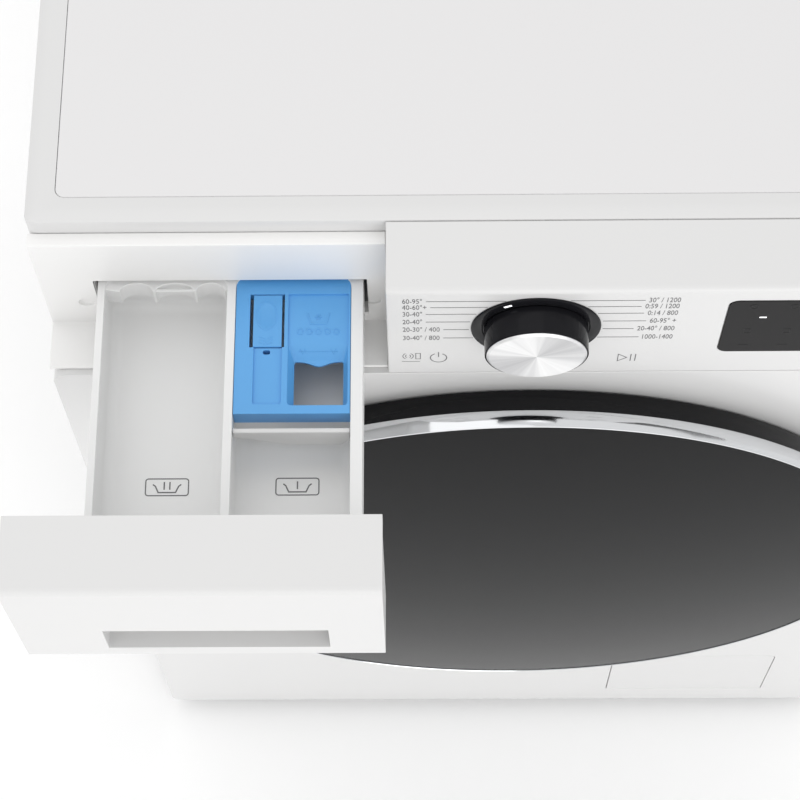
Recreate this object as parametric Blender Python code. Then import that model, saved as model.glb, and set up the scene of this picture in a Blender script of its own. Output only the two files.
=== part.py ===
"""Front load washing machine as separate pieces. Metres, +Z up, front towards -Y.

The origin is under the middle of the machine's box with the detergent drawer pulled out.
"""
import math

import bmesh
import bpy
from mathutils import Matrix, Vector

# Overall sizes
WIDTH = 0.600
HEIGHT = 0.850
DEPTH = 0.615             # face of the front panel to the back
DRAWER_TRAVEL = 0.182

# Gaps and walls
GAP = 0.0003              # between pieces that touch
FACET = 0.0008            # between round pieces with unlike numbers of sides
SHUT = 0.0015             # between fronts that open and what is beside them
RUNNING = 0.0003          # radial, shafts and pins
SHEET = 0.0016            # cabinet sheet
PLASTIC = 0.003

# Heights and places of the cabinet's parts
PLINTH_Z = 0.012
FOOT_RADIUS = 0.021
FOOT_PAD = 0.014
BASE_Z = 0.024
BASE_THICK = 0.012
FACE_SETBACK = 0.045      # the worktop starts this far behind the face
WORKTOP_THICK = 0.028
WORKTOP_RIM = 0.017
TOP_DROP = 0.0035         # fall of the panel's top towards the face
FASCIA_STEP = 0.009       # the dispenser's wall stands this far ahead of the worktop
RECESS_DROP = 0.0012      # floor of the drawer's recess below the panel's bottom
FLOOR_THICK = 0.0020
PANEL_HEIGHT = 0.108
FRONT_FLANGE = 0.020
COVER_HALF = 0.190        # rear service cover, half its width
COVER_TALL = 0.225        # half its height
OUTLET_SIDE = 0.085       # water inlet, drain and mains bush at the back
OUTLET_DROP = 0.090
SERVICE_WIDTH = 0.140     # flap over the drain filter
SERVICE_HEIGHT = 0.098
FLAP_GAP = 0.0006
FLAP_THICK = 0.0025
SERVICE_SIDE = 0.0625     # from the right side
SERVICE_LOW = 0.044

# Detergent drawer
DRAWER_WIDTH = 0.2115
TRAY_INSET_LEFT = 0.036
TRAY_INSET_RIGHT = 0.0145
TRAY_DROP = 0.0575        # rim of the tray below the panel's top
TRAY_HEIGHT = 0.041
TRAY_WALL = 0.0045
TRAY_RIGHT_WALL = 0.0072
TRAY_RIGHT_PART = 0.0797  # from the right wall's face to the divider's middle
DISPENSER_DEPTH = 0.190
GRIP_LEFT = 0.049         # finger pocket from the drawer front's left end
GRIP_RIGHT = 0.032
GRIP_LOW = 0.012          # lip below the pocket
GRIP_HEIGHT = 0.031
GRIP_DEPTH = 0.024
BOSS_OUT = 0.0102         # screw bosses beside the tray's opening
BOSS_DROP = 0.0255
CAP_FRONT = 0.0959        # front of the siphon cap behind the tray's front
CAP_THICK = 0.013
CAP_SKIN = 0.0025
CAP_DOWN = 0.001          # its top below the tray's rim
DIVIDER_FRONT = 0.0845    # liquid divider behind the tray's front
DIVIDER_THICK = 0.003
TAB_X = (0.0106, 0.0278)  # release tab from the cap's left side
TAB_START = 0.0440        # its front end from the cap's front
TAB_THICK = 0.002
TRAY_MIDDLE = 0.0027      # half the divider between the compartments
TRAY_FLOOR = 0.003

# Dial and display
DIAL_RISE = 0.0615        # its axis above the panel's bottom
DIAL_R = 0.031
DIAL_BEZEL_WIDTH = 0.0077
DIAL_LENGTH = 0.0198
DISPLAY_WIDTH = 0.175
DISPLAY_HEIGHT = 0.069
DISPLAY_SIDE = 0.014      # from the panel's right end
DISPLAY_RISE = 0.0255     # above the panel's bottom

# Door
DOOR_BELOW_PANEL = 0.0213
DOOR_R = 0.2622
DOOR_BAND_TAPER = 0.0070
DOOR_BAND = 0.0175        # depth of the black band behind the bright ring
DOOR_RING = 0.0112        # depth of the bright ring
DOOR_DOME = 0.014         # bulge of the cover
COVER_THICK = 0.004
RING_SEAT = 0.0025        # how far the ring reaches in under the cover
BOWL_FLANGE_R = DOOR_R * 0.7426
BOWL_MOUTH_R = DOOR_R * 0.5568
BOWL_BODY_R = BOWL_MOUTH_R - 0.041
BOWL_DEPTH = 0.100
MOUTH_R = DOOR_R * 0.656  # hole in the front panel
HINGE_IN = 0.0122         # axis inside the door's outline
HINGE_OUT = 0.0185        # axis ahead of the front panel
HINGE_PIN_R = 0.0025
HINGE_EYE_R = 0.0045
HINGE_EAR_R = 0.0038
HINGE_HALF = 0.018
HOOK_OUT = 0.0053         # middle of the hook outside the bowl's flange

# Tub and drum
TUB_R = DOOR_R - 0.0032
TUB_WALL = 0.0035
TUB_FRONT = 0.060         # behind the front panel's face
TUB_SPLIT = 0.250
TUB_BACK = 0.500
DRUM_R = TUB_R - 0.019
DRUM_WALL = 0.0012
DRUM_LIP_R = MOUTH_R - 0.006
LIFTER_HALF = 0.030
LIFTER_HIGH = 0.050
DRUM_FRONT = 0.078
DRUM_BACK = 0.455
SHAFT_R = 0.0175
BEARING_R = 0.036
BEARING_WIDTH = 0.014
BEARING_SEAT = 0.024      # front of the pair of bearings ahead of the tub's back
ROTOR_R = 0.135
STATOR_R = 0.112
SPRING_R = 0.011
SPRING_WIRE = 0.0019
SPRING_TURNS = 6
SUSPENSION_SIDE = 0.065   # springs from the cabinet's sides
SUSPENSION_Y = 0.300
SPRING_SHELF_DROP = 0.046
SPRING_LUG_RISE = 0.135   # top of the tub's lugs over the drum's axis
DAMPER_X = 0.150
DAMPER_R = 0.013
DAMPER_ROD_R = 0.008

HALF = WIDTH / 2
FRONT = (DRAWER_TRAVEL - DEPTH) / 2
BACK = FRONT + DEPTH
WORKTOP_FRONT = FRONT + FACE_SETBACK
FASCIA_FRONT = WORKTOP_FRONT - FASCIA_STEP
WORKTOP_Z = HEIGHT - WORKTOP_THICK
PANEL_TOP = HEIGHT - TOP_DROP
PANEL_BOTTOM = PANEL_TOP - PANEL_HEIGHT
DOOR_Z = PANEL_BOTTOM - DOOR_BELOW_PANEL - DOOR_R
DOOR_BAND_BACK_R = DOOR_R - DOOR_BAND_TAPER
HINGE_X = HINGE_IN - DOOR_R
HOOK_X = BOWL_FLANGE_R + HOOK_OUT
RECESS_FLOOR = PANEL_BOTTOM - RECESS_DROP
FRONT_TOP = RECESS_FLOOR - FLOOR_THICK - GAP
CONTROL_BOTTOM = FRONT_TOP + 0.001
FASCIA_TOP = PANEL_TOP - 0.0085
BACK_PLANE = BACK - 0.010
DRAWER_SIDE = HALF - DRAWER_WIDTH
TRAY_LEFT = TRAY_INSET_LEFT - HALF
TRAY_RIGHT = -DRAWER_SIDE - TRAY_INSET_RIGHT
TRAY_DIVIDER = TRAY_RIGHT - TRAY_RIGHT_PART
TRAY_TOP = PANEL_TOP - TRAY_DROP
TRAY_BOTTOM = TRAY_TOP - TRAY_HEIGHT
DIAL_BEZEL_R = DIAL_R + DIAL_BEZEL_WIDTH
DIAL_Z = min(PANEL_BOTTOM + DIAL_RISE, PANEL_TOP - 0.0065 - DIAL_BEZEL_R)
DISPLAY_X = (HALF - DISPLAY_SIDE - DISPLAY_WIDTH, HALF - DISPLAY_SIDE)
DISPLAY_Z = (PANEL_BOTTOM + DISPLAY_RISE, PANEL_BOTTOM + DISPLAY_RISE + DISPLAY_HEIGHT)
SERVICE_X = (HALF - SERVICE_SIDE - SERVICE_WIDTH, HALF - SERVICE_SIDE)
SERVICE_Z = (SERVICE_LOW, SERVICE_LOW + SERVICE_HEIGHT)
SUSPENSION_X = HALF - SUSPENSION_SIDE
SPRING_BRACKET_Z = WORKTOP_Z - SPRING_SHELF_DROP
SPRING_LUG_Z = DOOR_Z + SPRING_LUG_RISE

for old in list(bpy.data.objects):
    bpy.data.objects.remove(old)


def material(name, colour, roughness, metallic=0.0, alpha=1.0):
    made = bpy.data.materials.get(name) or bpy.data.materials.new(name)
    made.use_nodes = True
    shader = made.node_tree.nodes["Principled BSDF"]
    shader.inputs["Base Color"].default_value = (*colour, 1)
    shader.inputs["Roughness"].default_value = roughness
    shader.inputs["Metallic"].default_value = metallic
    shader.inputs["Alpha"].default_value = alpha
    return made


WHITE_PAINT = material("white_paint", (0.80, 0.80, 0.81), 0.35)
LAMINATE = material("white_laminate", (0.80, 0.80, 0.80), 0.35)
WHITE_PLASTIC = material("white_plastic", (0.80, 0.80, 0.81), 0.40)
TRAY_PLASTIC = material("tray_plastic", (0.74, 0.75, 0.76), 0.45)
BLUE_PLASTIC = material("blue_plastic", (0.19, 0.49, 0.83), 0.35)
BLACK_GLOSS = material("black_gloss", (0.012, 0.012, 0.013), 0.08)
DARK_GLASS = material("dark_glass", (0.03, 0.03, 0.035), 0.05)
CLEAR_GLASS = material("clear_glass", (0.75, 0.8, 0.8), 0.03, 0.0, 0.35)
CHROME = material("chrome", (0.8, 0.8, 0.8), 0.12, 1.0)
SPUN_METAL = material("spun_metal", (0.75, 0.75, 0.76), 0.30, 1.0)
STEEL = material("steel", (0.55, 0.55, 0.55), 0.35, 1.0)
GALVANISED = material("galvanised", (0.5, 0.51, 0.52), 0.45, 1.0)
GREY_PLASTIC = material("grey_plastic", (0.45, 0.46, 0.47), 0.5)
DARK_PLASTIC = material("dark_plastic", (0.03, 0.03, 0.032), 0.5)
RUBBER = material("rubber", (0.22, 0.22, 0.23), 0.8)
CAST_IRON = material("cast_iron", (0.20, 0.20, 0.21), 0.7, 0.6)
CAST = material("cast_aluminium", (0.5, 0.5, 0.5), 0.5, 1.0)
COPPER = material("copper", (0.55, 0.27, 0.14), 0.35, 1.0)


def finish(name, shape, look, smooth=35):
    """Turns a bmesh into an object with outward faces."""
    bmesh.ops.remove_doubles(shape, verts=shape.verts, dist=1e-6)
    bmesh.ops.recalc_face_normals(shape, faces=shape.faces)
    mesh = bpy.data.meshes.new(name)
    shape.to_mesh(mesh)
    shape.free()
    mesh.materials.append(look)
    mesh.shade_smooth()
    mesh.set_sharp_from_angle(angle=math.radians(smooth))
    made = bpy.data.objects.new(name, mesh)
    bpy.context.scene.collection.objects.link(made)
    return made


def prism(name, outline, axis, low, high, look):
    """Outline of (a, b) points extruded along X, Y or Z; a, b are the other two axes in order."""
    place = {
        "X": lambda a, b, t: (t, a, b),
        "Y": lambda a, b, t: (a, t, b),
        "Z": lambda a, b, t: (a, b, t),
    }[axis]
    shape = bmesh.new()
    near = [shape.verts.new(place(a, b, low)) for a, b in outline]
    far = [shape.verts.new(place(a, b, high)) for a, b in outline]
    shape.faces.new(near)
    shape.faces.new(far)
    count = len(outline)
    for i in range(count):
        j = (i + 1) % count
        shape.faces.new((near[i], near[j], far[j], far[i]))
    return finish(name, shape, look)


def box(name, x, y, z, look):
    return prism(name, [(x[0], y[0]), (x[1], y[0]), (x[1], y[1]), (x[0], y[1])], "Z", z[0], z[1], look)


def rounded(a, b, radius, steps=4):
    """Corner points of a rectangle between a = (low, low) and b = (high, high)."""
    points = []
    centres = [
        (b[0] - radius, b[1] - radius),
        (a[0] + radius, b[1] - radius),
        (a[0] + radius, a[1] + radius),
        (b[0] - radius, a[1] + radius),
    ]
    for corner, (x, y) in enumerate(centres):
        for i in range(steps + 1):
            turn = math.radians(90 * corner + 90 * i / steps)
            points.append((x + radius * math.cos(turn), y + radius * math.sin(turn)))
    return points


def circle(x, z, radius, sides):
    turns = [2 * math.pi * i / sides for i in range(sides)]
    return [(x + radius * math.cos(t), z + radius * math.sin(t)) for t in turns]


def turned(name, profile, x, z, look, sides=48, smooth=35):
    """Closed profile of (radius, y) points turned about an axis along Y through x, z."""
    shape = bmesh.new()
    rings = []
    for radius, y in profile:
        if radius < 1e-7:
            rings.append([shape.verts.new((x, y, z))] * sides)
            continue
        ring = [
            shape.verts.new((x + radius * math.cos(t), y, z + radius * math.sin(t)))
            for t in (2 * math.pi * i / sides for i in range(sides))
        ]
        rings.append(ring)
    for first, second in zip(rings, rings[1:] + rings[:1]):
        for i in range(sides):
            j = (i + 1) % sides
            corners = []
            for vert in (first[i], first[j], second[j], second[i]):
                if vert not in corners:
                    corners.append(vert)
            if len(corners) > 2:
                shape.faces.new(corners)
    return finish(name, shape, look, smooth)


def turned_z(name, profile, x, y, look, sides=24):
    """Closed profile of (radius, z) points turned about a vertical axis."""
    made = turned(name, profile, 0, 0, look, sides)
    made.data.transform(Matrix.Translation((x, y, 0)) @ Matrix.Rotation(math.radians(90), 4, "X"))
    return made


def swept(name, points, radius, look, sides=8):
    """Round rod along a list of points, with flat ends."""
    shape = bmesh.new()
    rings = []
    path = [Vector(p) for p in points]
    side = Vector((0, 1, 0))
    for i, here in enumerate(path):
        ahead = path[min(i + 1, len(path) - 1)] - path[max(i - 1, 0)]
        ahead.normalize()
        if abs(ahead.dot(side)) > 0.95:
            side = Vector((0, 0, 1))
        across = (side - ahead * side.dot(ahead)).normalized()
        up = ahead.cross(across)
        side = across
        rings.append([
            shape.verts.new(here + (across * math.cos(t) + up * math.sin(t)) * radius)
            for t in (2 * math.pi * k / sides for k in range(sides))
        ])
    shape.faces.new(rings[0])
    shape.faces.new(rings[-1])
    for first, second in zip(rings, rings[1:]):
        for k in range(sides):
            m = (k + 1) % sides
            shape.faces.new((first[k], first[m], second[m], second[k]))
    return finish(name, shape, look)


def boolean(target, tools, operation):
    """Cuts or joins the tools, which are then removed."""
    for tool in tools:
        step = target.modifiers.new(tool.name, "BOOLEAN")
        step.operation = operation
        step.solver = "EXACT"
        step.object = tool
    bpy.context.view_layer.update()
    result = target.evaluated_get(bpy.context.evaluated_depsgraph_get())
    mesh = bpy.data.meshes.new_from_object(result)
    target.modifiers.clear()
    target.data = mesh
    tidy = bmesh.new()
    tidy.from_mesh(mesh)
    bmesh.ops.dissolve_limit(tidy, angle_limit=0.002, verts=tidy.verts, edges=tidy.edges)
    tidy.to_mesh(mesh)
    tidy.free()
    mesh.shade_smooth()
    mesh.set_sharp_from_angle(angle=math.radians(35))
    for tool in tools:
        bpy.data.objects.remove(tool)
    return target


def cut(target, *tools):
    return boolean(target, tools, "DIFFERENCE")


def join(target, *tools):
    return boolean(target, tools, "UNION")


def pivot(name, place, *pieces):
    """An empty on a joint's axis, carrying the pieces that move with it."""
    empty = bpy.data.objects.new(name, None)
    empty.location = place
    bpy.context.scene.collection.objects.link(empty)
    for piece in pieces:
        piece.parent = empty
        piece.matrix_parent_inverse = Matrix.Translation(place).inverted()
    return empty


# ---------------------------------------------------------------- cabinet

def side_panel(name, side):
    """Steel side: stops behind the front panel, and further back beside the drawer."""
    outer = side * HALF
    inner = side * (HALF - SHEET)
    low_front = FRONT + FRONT_FLANGE + GAP
    high_front = WORKTOP_FRONT + GAP
    outline = [
        (low_front, PLINTH_Z), (BACK_PLANE, PLINTH_Z), (BACK_PLANE, WORKTOP_Z - GAP),
        (high_front, WORKTOP_Z - GAP), (high_front, FRONT_TOP), (low_front, FRONT_TOP),
    ]
    panel = prism(name, outline, "X", min(outer, inner), max(outer, inner), WHITE_PAINT)
    reach = side * (SUSPENSION_X - 0.018)
    y = FRONT + SUSPENSION_Y
    shelf = box(
        "shelf", (min(reach, inner + side * 0.001), max(reach, inner + side * 0.001)),
        (y - 0.020, y + 0.020), (SPRING_BRACKET_Z, SPRING_BRACKET_Z + 0.004), WHITE_PAINT,
    )
    return join(panel, shelf)


def back_panel():
    """Rear sheet with the service opening, standing between the sides."""
    inside = HALF - SHEET - GAP
    panel = box(
        "back_panel", (-inside, inside), (BACK_PLANE - SHEET, BACK_PLANE), (BASE_Z, WORKTOP_Z - GAP),
        WHITE_PAINT,
    )
    half = COVER_HALF - 0.020
    tall = COVER_TALL - 0.020
    hole = prism(
        "hole", rounded((-half, DOOR_Z - tall), (half, DOOR_Z + tall), 0.06), "Y", BACK_PLANE - 0.02,
        BACK_PLANE + 0.02, WHITE_PAINT,
    )
    return cut(panel, hole)


def rear_cover():
    """Shallow dished cover over the service opening."""
    y = BACK_PLANE + GAP
    corner = (COVER_HALF, COVER_TALL)
    rim = prism(
        "rear_cover", rounded((-corner[0], DOOR_Z - corner[1]), (corner[0], DOOR_Z + corner[1]), 0.075), "Y",
        y, BACK, GREY_PLASTIC,
    )
    inner = (COVER_HALF - 0.025, COVER_TALL - 0.025)
    hollow = prism(
        "hollow", rounded((-inner[0], DOOR_Z - inner[1]), (inner[0], DOOR_Z + inner[1]), 0.055), "Y",
        y - 0.005, BACK - PLASTIC, GREY_PLASTIC,
    )
    return cut(rim, hollow)


def base_pan():
    """Floor of the cabinet, with a turned-up edge and a well over each foot."""
    inside = HALF - SHEET - GAP
    y0 = FRONT + FRONT_FLANGE + GAP
    y1 = BACK_PLANE - SHEET - GAP
    pan = box("base_pan", (-inside, inside), (y0, y1), (BASE_Z, BASE_Z + BASE_THICK), GREY_PLASTIC)
    tray = box(
        "tray", (-inside + 0.012, inside - 0.012), (y0 + 0.012, y1 - 0.012),
        (BASE_Z + 0.004, BASE_Z + BASE_THICK + 0.01), GREY_PLASTIC,
    )
    return cut(pan, tray)


def foot(name, x, y):
    """Levelling foot: rubber-soled pad with a neck up to the pan."""
    top = BASE_Z - GAP
    profile = [
        (0, 0), (FOOT_RADIUS - 0.002, 0), (FOOT_RADIUS, 0.003), (FOOT_RADIUS, FOOT_PAD - 0.002),
        (FOOT_RADIUS - 0.003, FOOT_PAD), (0.009, FOOT_PAD + 0.002), (0.009, top), (0, top),
    ]
    return turned_z(name, profile, x, y, RUBBER, 20)


def worktop():
    """Laminate board held in a moulded surround with a bevelled inner edge."""
    y0 = WORKTOP_FRONT
    y1 = BACK_PLANE
    outer = rounded((-HALF, y0), (HALF, y1), 0.006)
    surround = prism("worktop_surround", outer, "Z", WORKTOP_Z, HEIGHT, WHITE_PLASTIC)
    rim = WORKTOP_RIM
    slot = prism(
        "slot", rounded((-HALF + rim, y0 + rim), (HALF - rim, y1 - rim), 0.006), "Z",
        HEIGHT - 0.019, HEIGHT + 0.01, WHITE_PLASTIC,
    )
    through = box(
        "through", (-HALF + rim + 0.02, HALF - rim - 0.02), (y0 + rim + 0.02, y1 - rim - 0.02),
        (WORKTOP_Z - 0.01, HEIGHT), WHITE_PLASTIC,
    )
    cut(surround, slot, through)
    edge = rim + GAP
    board = prism(
        "worktop_board", rounded((-HALF + edge, y0 + edge), (HALF - edge, y1 - edge), 0.006 - GAP), "Z",
        HEIGHT - 0.019 + GAP, HEIGHT - 0.0004, LAMINATE,
    )
    return surround, board


def front_panel():
    """Front sheet with folded edges, the door mouth and the slots for hinge, hook and flap."""
    edge = HALF - SHUT
    panel = prism(
        "front_panel", rounded((-edge, PLINTH_Z), (edge, FRONT_TOP), 0.010), "Y", FRONT, FRONT + FRONT_FLANGE,
        WHITE_PAINT,
    )
    inner = prism(
        "inner", rounded((-edge + SHEET, PLINTH_Z + SHEET), (edge - SHEET, FRONT_TOP - SHEET), 0.007), "Y",
        FRONT + SHEET, FRONT + 0.05, WHITE_PAINT,
    )
    mouth = prism("mouth", circle(0, DOOR_Z, MOUTH_R, 72), "Y", FRONT - 0.01, FRONT + 0.01, WHITE_PAINT)
    hinge_slot = box(
        "hinge_slot", (HINGE_X + 0.0085, HINGE_X + 0.0300), (FRONT - 0.01, FRONT + 0.01),
        (DOOR_Z - HINGE_HALF - 0.009, DOOR_Z + HINGE_HALF + 0.009), WHITE_PAINT,
    )
    hook_slot = box(
        "hook_slot", (HOOK_X - 0.009, HOOK_X + 0.012), (FRONT - 0.01, FRONT + 0.01),
        (DOOR_Z - 0.014, DOOR_Z + 0.014), WHITE_PAINT,
    )
    flap = prism("flap_hole", flap_outline(0), "Y", FRONT - 0.01, FRONT + 0.01, WHITE_PAINT)
    return cut(panel, inner, mouth, hinge_slot, hook_slot, flap)


def front_profile(bottom):
    """Section of the control panel and the drawer front: a slightly falling top, rounded at the face."""
    r = 0.004
    corner = []
    for i in range(5):
        turn = math.radians(90 * i / 4)
        corner.append((FRONT + r - r * math.cos(turn), PANEL_TOP - r + r * math.sin(turn)))
    return [(FRONT, bottom)] + corner + [(WORKTOP_FRONT - GAP, HEIGHT - GAP)]


def control_panel():
    """Moulded fascia, open at the back, with the dial's hole and the display's pocket."""
    x0 = -DRAWER_SIDE
    outline = front_profile(CONTROL_BOTTOM) + [(WORKTOP_FRONT - GAP, CONTROL_BOTTOM)]
    panel = prism("control_panel", outline, "X", x0, HALF, WHITE_PLASTIC)
    hollow = box(
        "hollow", (x0 + PLASTIC, HALF - PLASTIC), (FRONT + PLASTIC, WORKTOP_FRONT + 0.02),
        (CONTROL_BOTTOM + PLASTIC, PANEL_TOP - 0.006), WHITE_PLASTIC,
    )
    dial_hole = prism(
        "dial_hole", circle(0, DIAL_Z, DIAL_BEZEL_R - 0.003, 40), "Y", FRONT - 0.01, FRONT + 0.01,
        WHITE_PLASTIC,
    )
    pocket = prism(
        "pocket", rounded((DISPLAY_X[0], DISPLAY_Z[0]), (DISPLAY_X[1], DISPLAY_Z[1]), 0.006), "Y",
        FRONT - 0.01, FRONT + 0.0012, WHITE_PLASTIC,
    )
    return cut(panel, hollow, dial_hole, pocket)


def display():
    """Dark window in the panel's pocket."""
    inset = GAP
    return prism(
        "display_window",
        rounded(
            (DISPLAY_X[0] + inset, DISPLAY_Z[0] + inset), (DISPLAY_X[1] - inset, DISPLAY_Z[1] - inset),
            0.0057,
        ),
        "Y", FRONT - 0.0002, FRONT + 0.0009, BLACK_GLOSS,
    )


def dial_bezel():
    """Black ring around the dial with a sleeve through the panel."""
    r = DIAL_BEZEL_R
    y = FRONT - GAP
    sleeve = DIAL_BEZEL_R - 0.003 - GAP
    profile = [
        (0.008, y - 0.0006), (DIAL_R + 0.0006, y - 0.0006), (DIAL_R + 0.002, y - 0.0012),
        (r - 0.0010, y - 0.0012), (r, y - 0.0004), (r, y), (sleeve, y), (sleeve, y + 0.012),
        (sleeve - 0.002, y + 0.012),
        (sleeve - 0.002, y + 0.0015), (0.010, y + 0.0015), (0.010, y + 0.010), (0.008, y + 0.010),
    ]
    return turned("dial_bezel", profile, 0, DIAL_Z, BLACK_GLOSS, 32)


def dial():
    """Black skirt on its spindle, with a spun metal cap let into its end."""
    base = FRONT - 0.0016
    end = FRONT - DIAL_LENGTH
    cap_r = DIAL_R - 0.0008
    skirt_profile = [
        (0, end + 0.0022), (cap_r, end + 0.0022), (cap_r, end + 0.0011), (DIAL_R - 0.0003, end + 0.0013),
        (DIAL_R, base), (0.0077, base), (0.0077, FRONT + 0.014), (0, FRONT + 0.014),
    ]
    skirt = turned("dial_skirt", skirt_profile, 0, DIAL_Z, BLACK_GLOSS, 32)
    cap_profile = [
        (0, end), (cap_r - 0.0018, end), (cap_r - GAP, end + 0.0012), (cap_r - GAP, end + 0.0022 - GAP),
        (0, end + 0.0022 - GAP),
    ]
    cap = turned("dial_cap", cap_profile, 0, DIAL_Z, SPUN_METAL, 32)
    pivot("dial_axis", (0, FRONT, DIAL_Z), skirt, cap)


def dispenser_fascia():
    """Wall and floor of the drawer's recess, with the opening that the tray slides through."""
    x0 = -HALF + 0.0003
    x1 = -DRAWER_SIDE - GAP
    low = RECESS_FLOOR - FLOOR_THICK
    wall = box(
        "dispenser_fascia", (x0, x1), (FASCIA_FRONT, WORKTOP_FRONT - GAP), (low, FASCIA_TOP), WHITE_PLASTIC,
    )
    floor = box("floor", (x0, x1), (FRONT + 0.004, FASCIA_FRONT + 0.002), (low, RECESS_FLOOR), WHITE_PLASTIC)
    opening = box(
        "opening", (TRAY_LEFT - 0.0022, TRAY_RIGHT + 0.0022), (FRONT - 0.01, WORKTOP_FRONT + 0.01),
        (TRAY_BOTTOM - 0.0015, TRAY_TOP + 0.0035), WHITE_PLASTIC,
    )
    bosses = [
        turned(
            "boss",
            [(0, FASCIA_FRONT + 0.002), (0.005, FASCIA_FRONT + 0.002), (0.005, FASCIA_FRONT - 0.01),
             (0, FASCIA_FRONT - 0.01)],
            x, TRAY_TOP - BOSS_DROP, WHITE_PLASTIC, 16,
        )
        for x in (TRAY_LEFT - BOSS_OUT, TRAY_RIGHT + BOSS_OUT / 2)
    ]
    join(wall, floor)
    return cut(wall, opening, *bosses)


def dispenser_box():
    """Housing behind the fascia, open at the front, with its outlet below at the back."""
    x = (TRAY_LEFT - 0.0050, TRAY_RIGHT + 0.0050)
    y = (WORKTOP_FRONT + GAP, WORKTOP_FRONT + DISPENSER_DEPTH)
    z = (TRAY_BOTTOM - 0.0050, TRAY_TOP + 0.014)
    case = box("dispenser_box", x, y, z, GREY_PLASTIC)
    hollow = box(
        "hollow", (x[0] + 0.0025, x[1] - 0.0025), (y[0] - 0.01, y[1] - 0.0025),
        (z[0] + 0.0025, z[1] - 0.0025),
        GREY_PLASTIC,
    )
    return cut(case, hollow)


def inlet_valve():
    """Solenoid valve whose threaded spigot comes out at the top of the back."""
    x, z = HALF - OUTLET_SIDE, HEIGHT - OUTLET_DROP
    shoulder = BACK_PLANE - SHEET - 0.004
    profile = [
        (0, BACK - 0.004), (0.0080, BACK - 0.004), (0.0080, BACK), (0.0128, BACK), (0.0128, shoulder),
        (0.020, shoulder), (0.020, BACK - 0.075), (0, BACK - 0.075),
    ]
    return turned("inlet_valve", profile, x, z, DARK_PLASTIC, 24), (x, z, 0.0128)


def drain_outlet():
    """Elbow stub that a drain hose pushes on, at the bottom of the back."""
    x, z = HALF - OUTLET_SIDE, HEIGHT - OUTLET_DROP - 0.060
    profile = [
        (0.0075, BACK), (0.0110, BACK), (0.0110, BACK_PLANE - SHEET - 0.004),
        (0.016, BACK_PLANE - SHEET - 0.004),
        (0.016, BACK_PLANE - 0.030), (0.0075, BACK_PLANE - 0.030),
    ]
    return turned("drain_outlet", profile, x, z, GREY_PLASTIC, 24), (x, z, 0.0110)


def mains_inlet():
    """Strain relief bush where a mains cord enters."""
    x, z = OUTLET_SIDE - HALF, HEIGHT - OUTLET_DROP
    profile = [
        (0.0045, BACK), (0.0090, BACK), (0.0105, BACK_PLANE + 0.0005), (0.0090, BACK_PLANE - SHEET - 0.001),
        (0.0130, BACK_PLANE - SHEET - 0.001), (0.0130, BACK_PLANE - 0.014), (0.0045, BACK_PLANE - 0.014),
    ]
    return turned("mains_inlet", profile, x, z, DARK_PLASTIC, 24), (x, z, 0.0105)


def drain_pump():
    """Pump body with the filter's housing, mouth facing the service flap."""
    x = (SERVICE_X[0] + SERVICE_X[1]) / 2
    z = (SERVICE_Z[0] + SERVICE_Z[1]) / 2 - 0.010
    y = FRONT + 0.024
    profile = [
        (0.0330, y), (0.0330, y + 0.100), (0.0400, y + 0.100), (0.0400, y + 0.140), (0, y + 0.140),
        (0, y + 0.090),
        (0.0290, y + 0.090), (0.0290, y),
    ]
    return turned("drain_pump", profile, x, z, DARK_PLASTIC, 24), x, z, y


def drain_filter(x, z, y):
    """Screwed filter with a bar to grip."""
    profile = [
        (0, y - 0.008), (0.0310, y - 0.008), (0.0310, y - 0.0015), (0.0285, y - 0.0015), (0.0285, y + 0.070),
        (0, y + 0.070),
    ]
    body = turned("drain_filter", profile, x, z, GREY_PLASTIC, 24)
    grip = box("grip", (x - 0.022, x + 0.022), (y - 0.0165, y - 0.0070), (z - 0.004, z + 0.004), GREY_PLASTIC)
    join(body, grip)
    pivot("filter_axis", (x, y, z), body)
    return body


def flap_outline(inset):
    """Outline of the flap or its opening: round above, square below so that the flap can turn."""
    x0, x1 = SERVICE_X[0] + inset, SERVICE_X[1] - inset
    z0, z1 = SERVICE_Z[0] + inset, SERVICE_Z[1] - inset
    upper = rounded((x0, z0), (x1, z1), 0.006 - inset)[:10]
    return upper + [(x0, z0), (x1, z0)]


def service_flap():
    """Small door over the drain filter, turning on its lower edge."""
    flap = prism("service_flap", flap_outline(FLAP_GAP), "Y", FRONT, FRONT + FLAP_THICK, WHITE_PLASTIC)
    half = FLAP_THICK / 2
    pivot("flap_axis", (sum(SERVICE_X) / 2, FRONT + half, SERVICE_Z[0] + FLAP_GAP + half), flap)
    return flap


def build_cabinet():
    left = side_panel("left_side_panel", -1)
    right = side_panel("right_side_panel", 1)
    back = back_panel()
    rear_cover()
    base_pan()
    inset = 0.045
    y0 = FRONT + FRONT_FLANGE + inset
    y1 = BACK_PLANE - inset
    x = HALF - inset
    for name, at in {
        "foot_front_left": (-x, y0), "foot_front_right": (x, y0),
        "foot_rear_left": (-x, y1), "foot_rear_right": (x, y1),
    }.items():
        foot(name, *at)
    worktop()
    front_panel()
    control_panel()
    display()
    dial_bezel()
    dispenser_fascia()
    dispenser_box()
    outlets = [inlet_valve(), drain_outlet(), mains_inlet()]
    holes = [
        prism("outlet", circle(x, z, r + GAP, 24), "Y", BACK_PLANE - 0.02, BACK_PLANE + 0.02, WHITE_PAINT)
        for _, (x, z, r) in outlets
    ]
    cut(back, *holes)
    pump, x, z, y = drain_pump()
    drain_filter(x, z, y)
    service_flap()
    return left, right


# ---------------------------------------------------------------- detergent drawer

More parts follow.
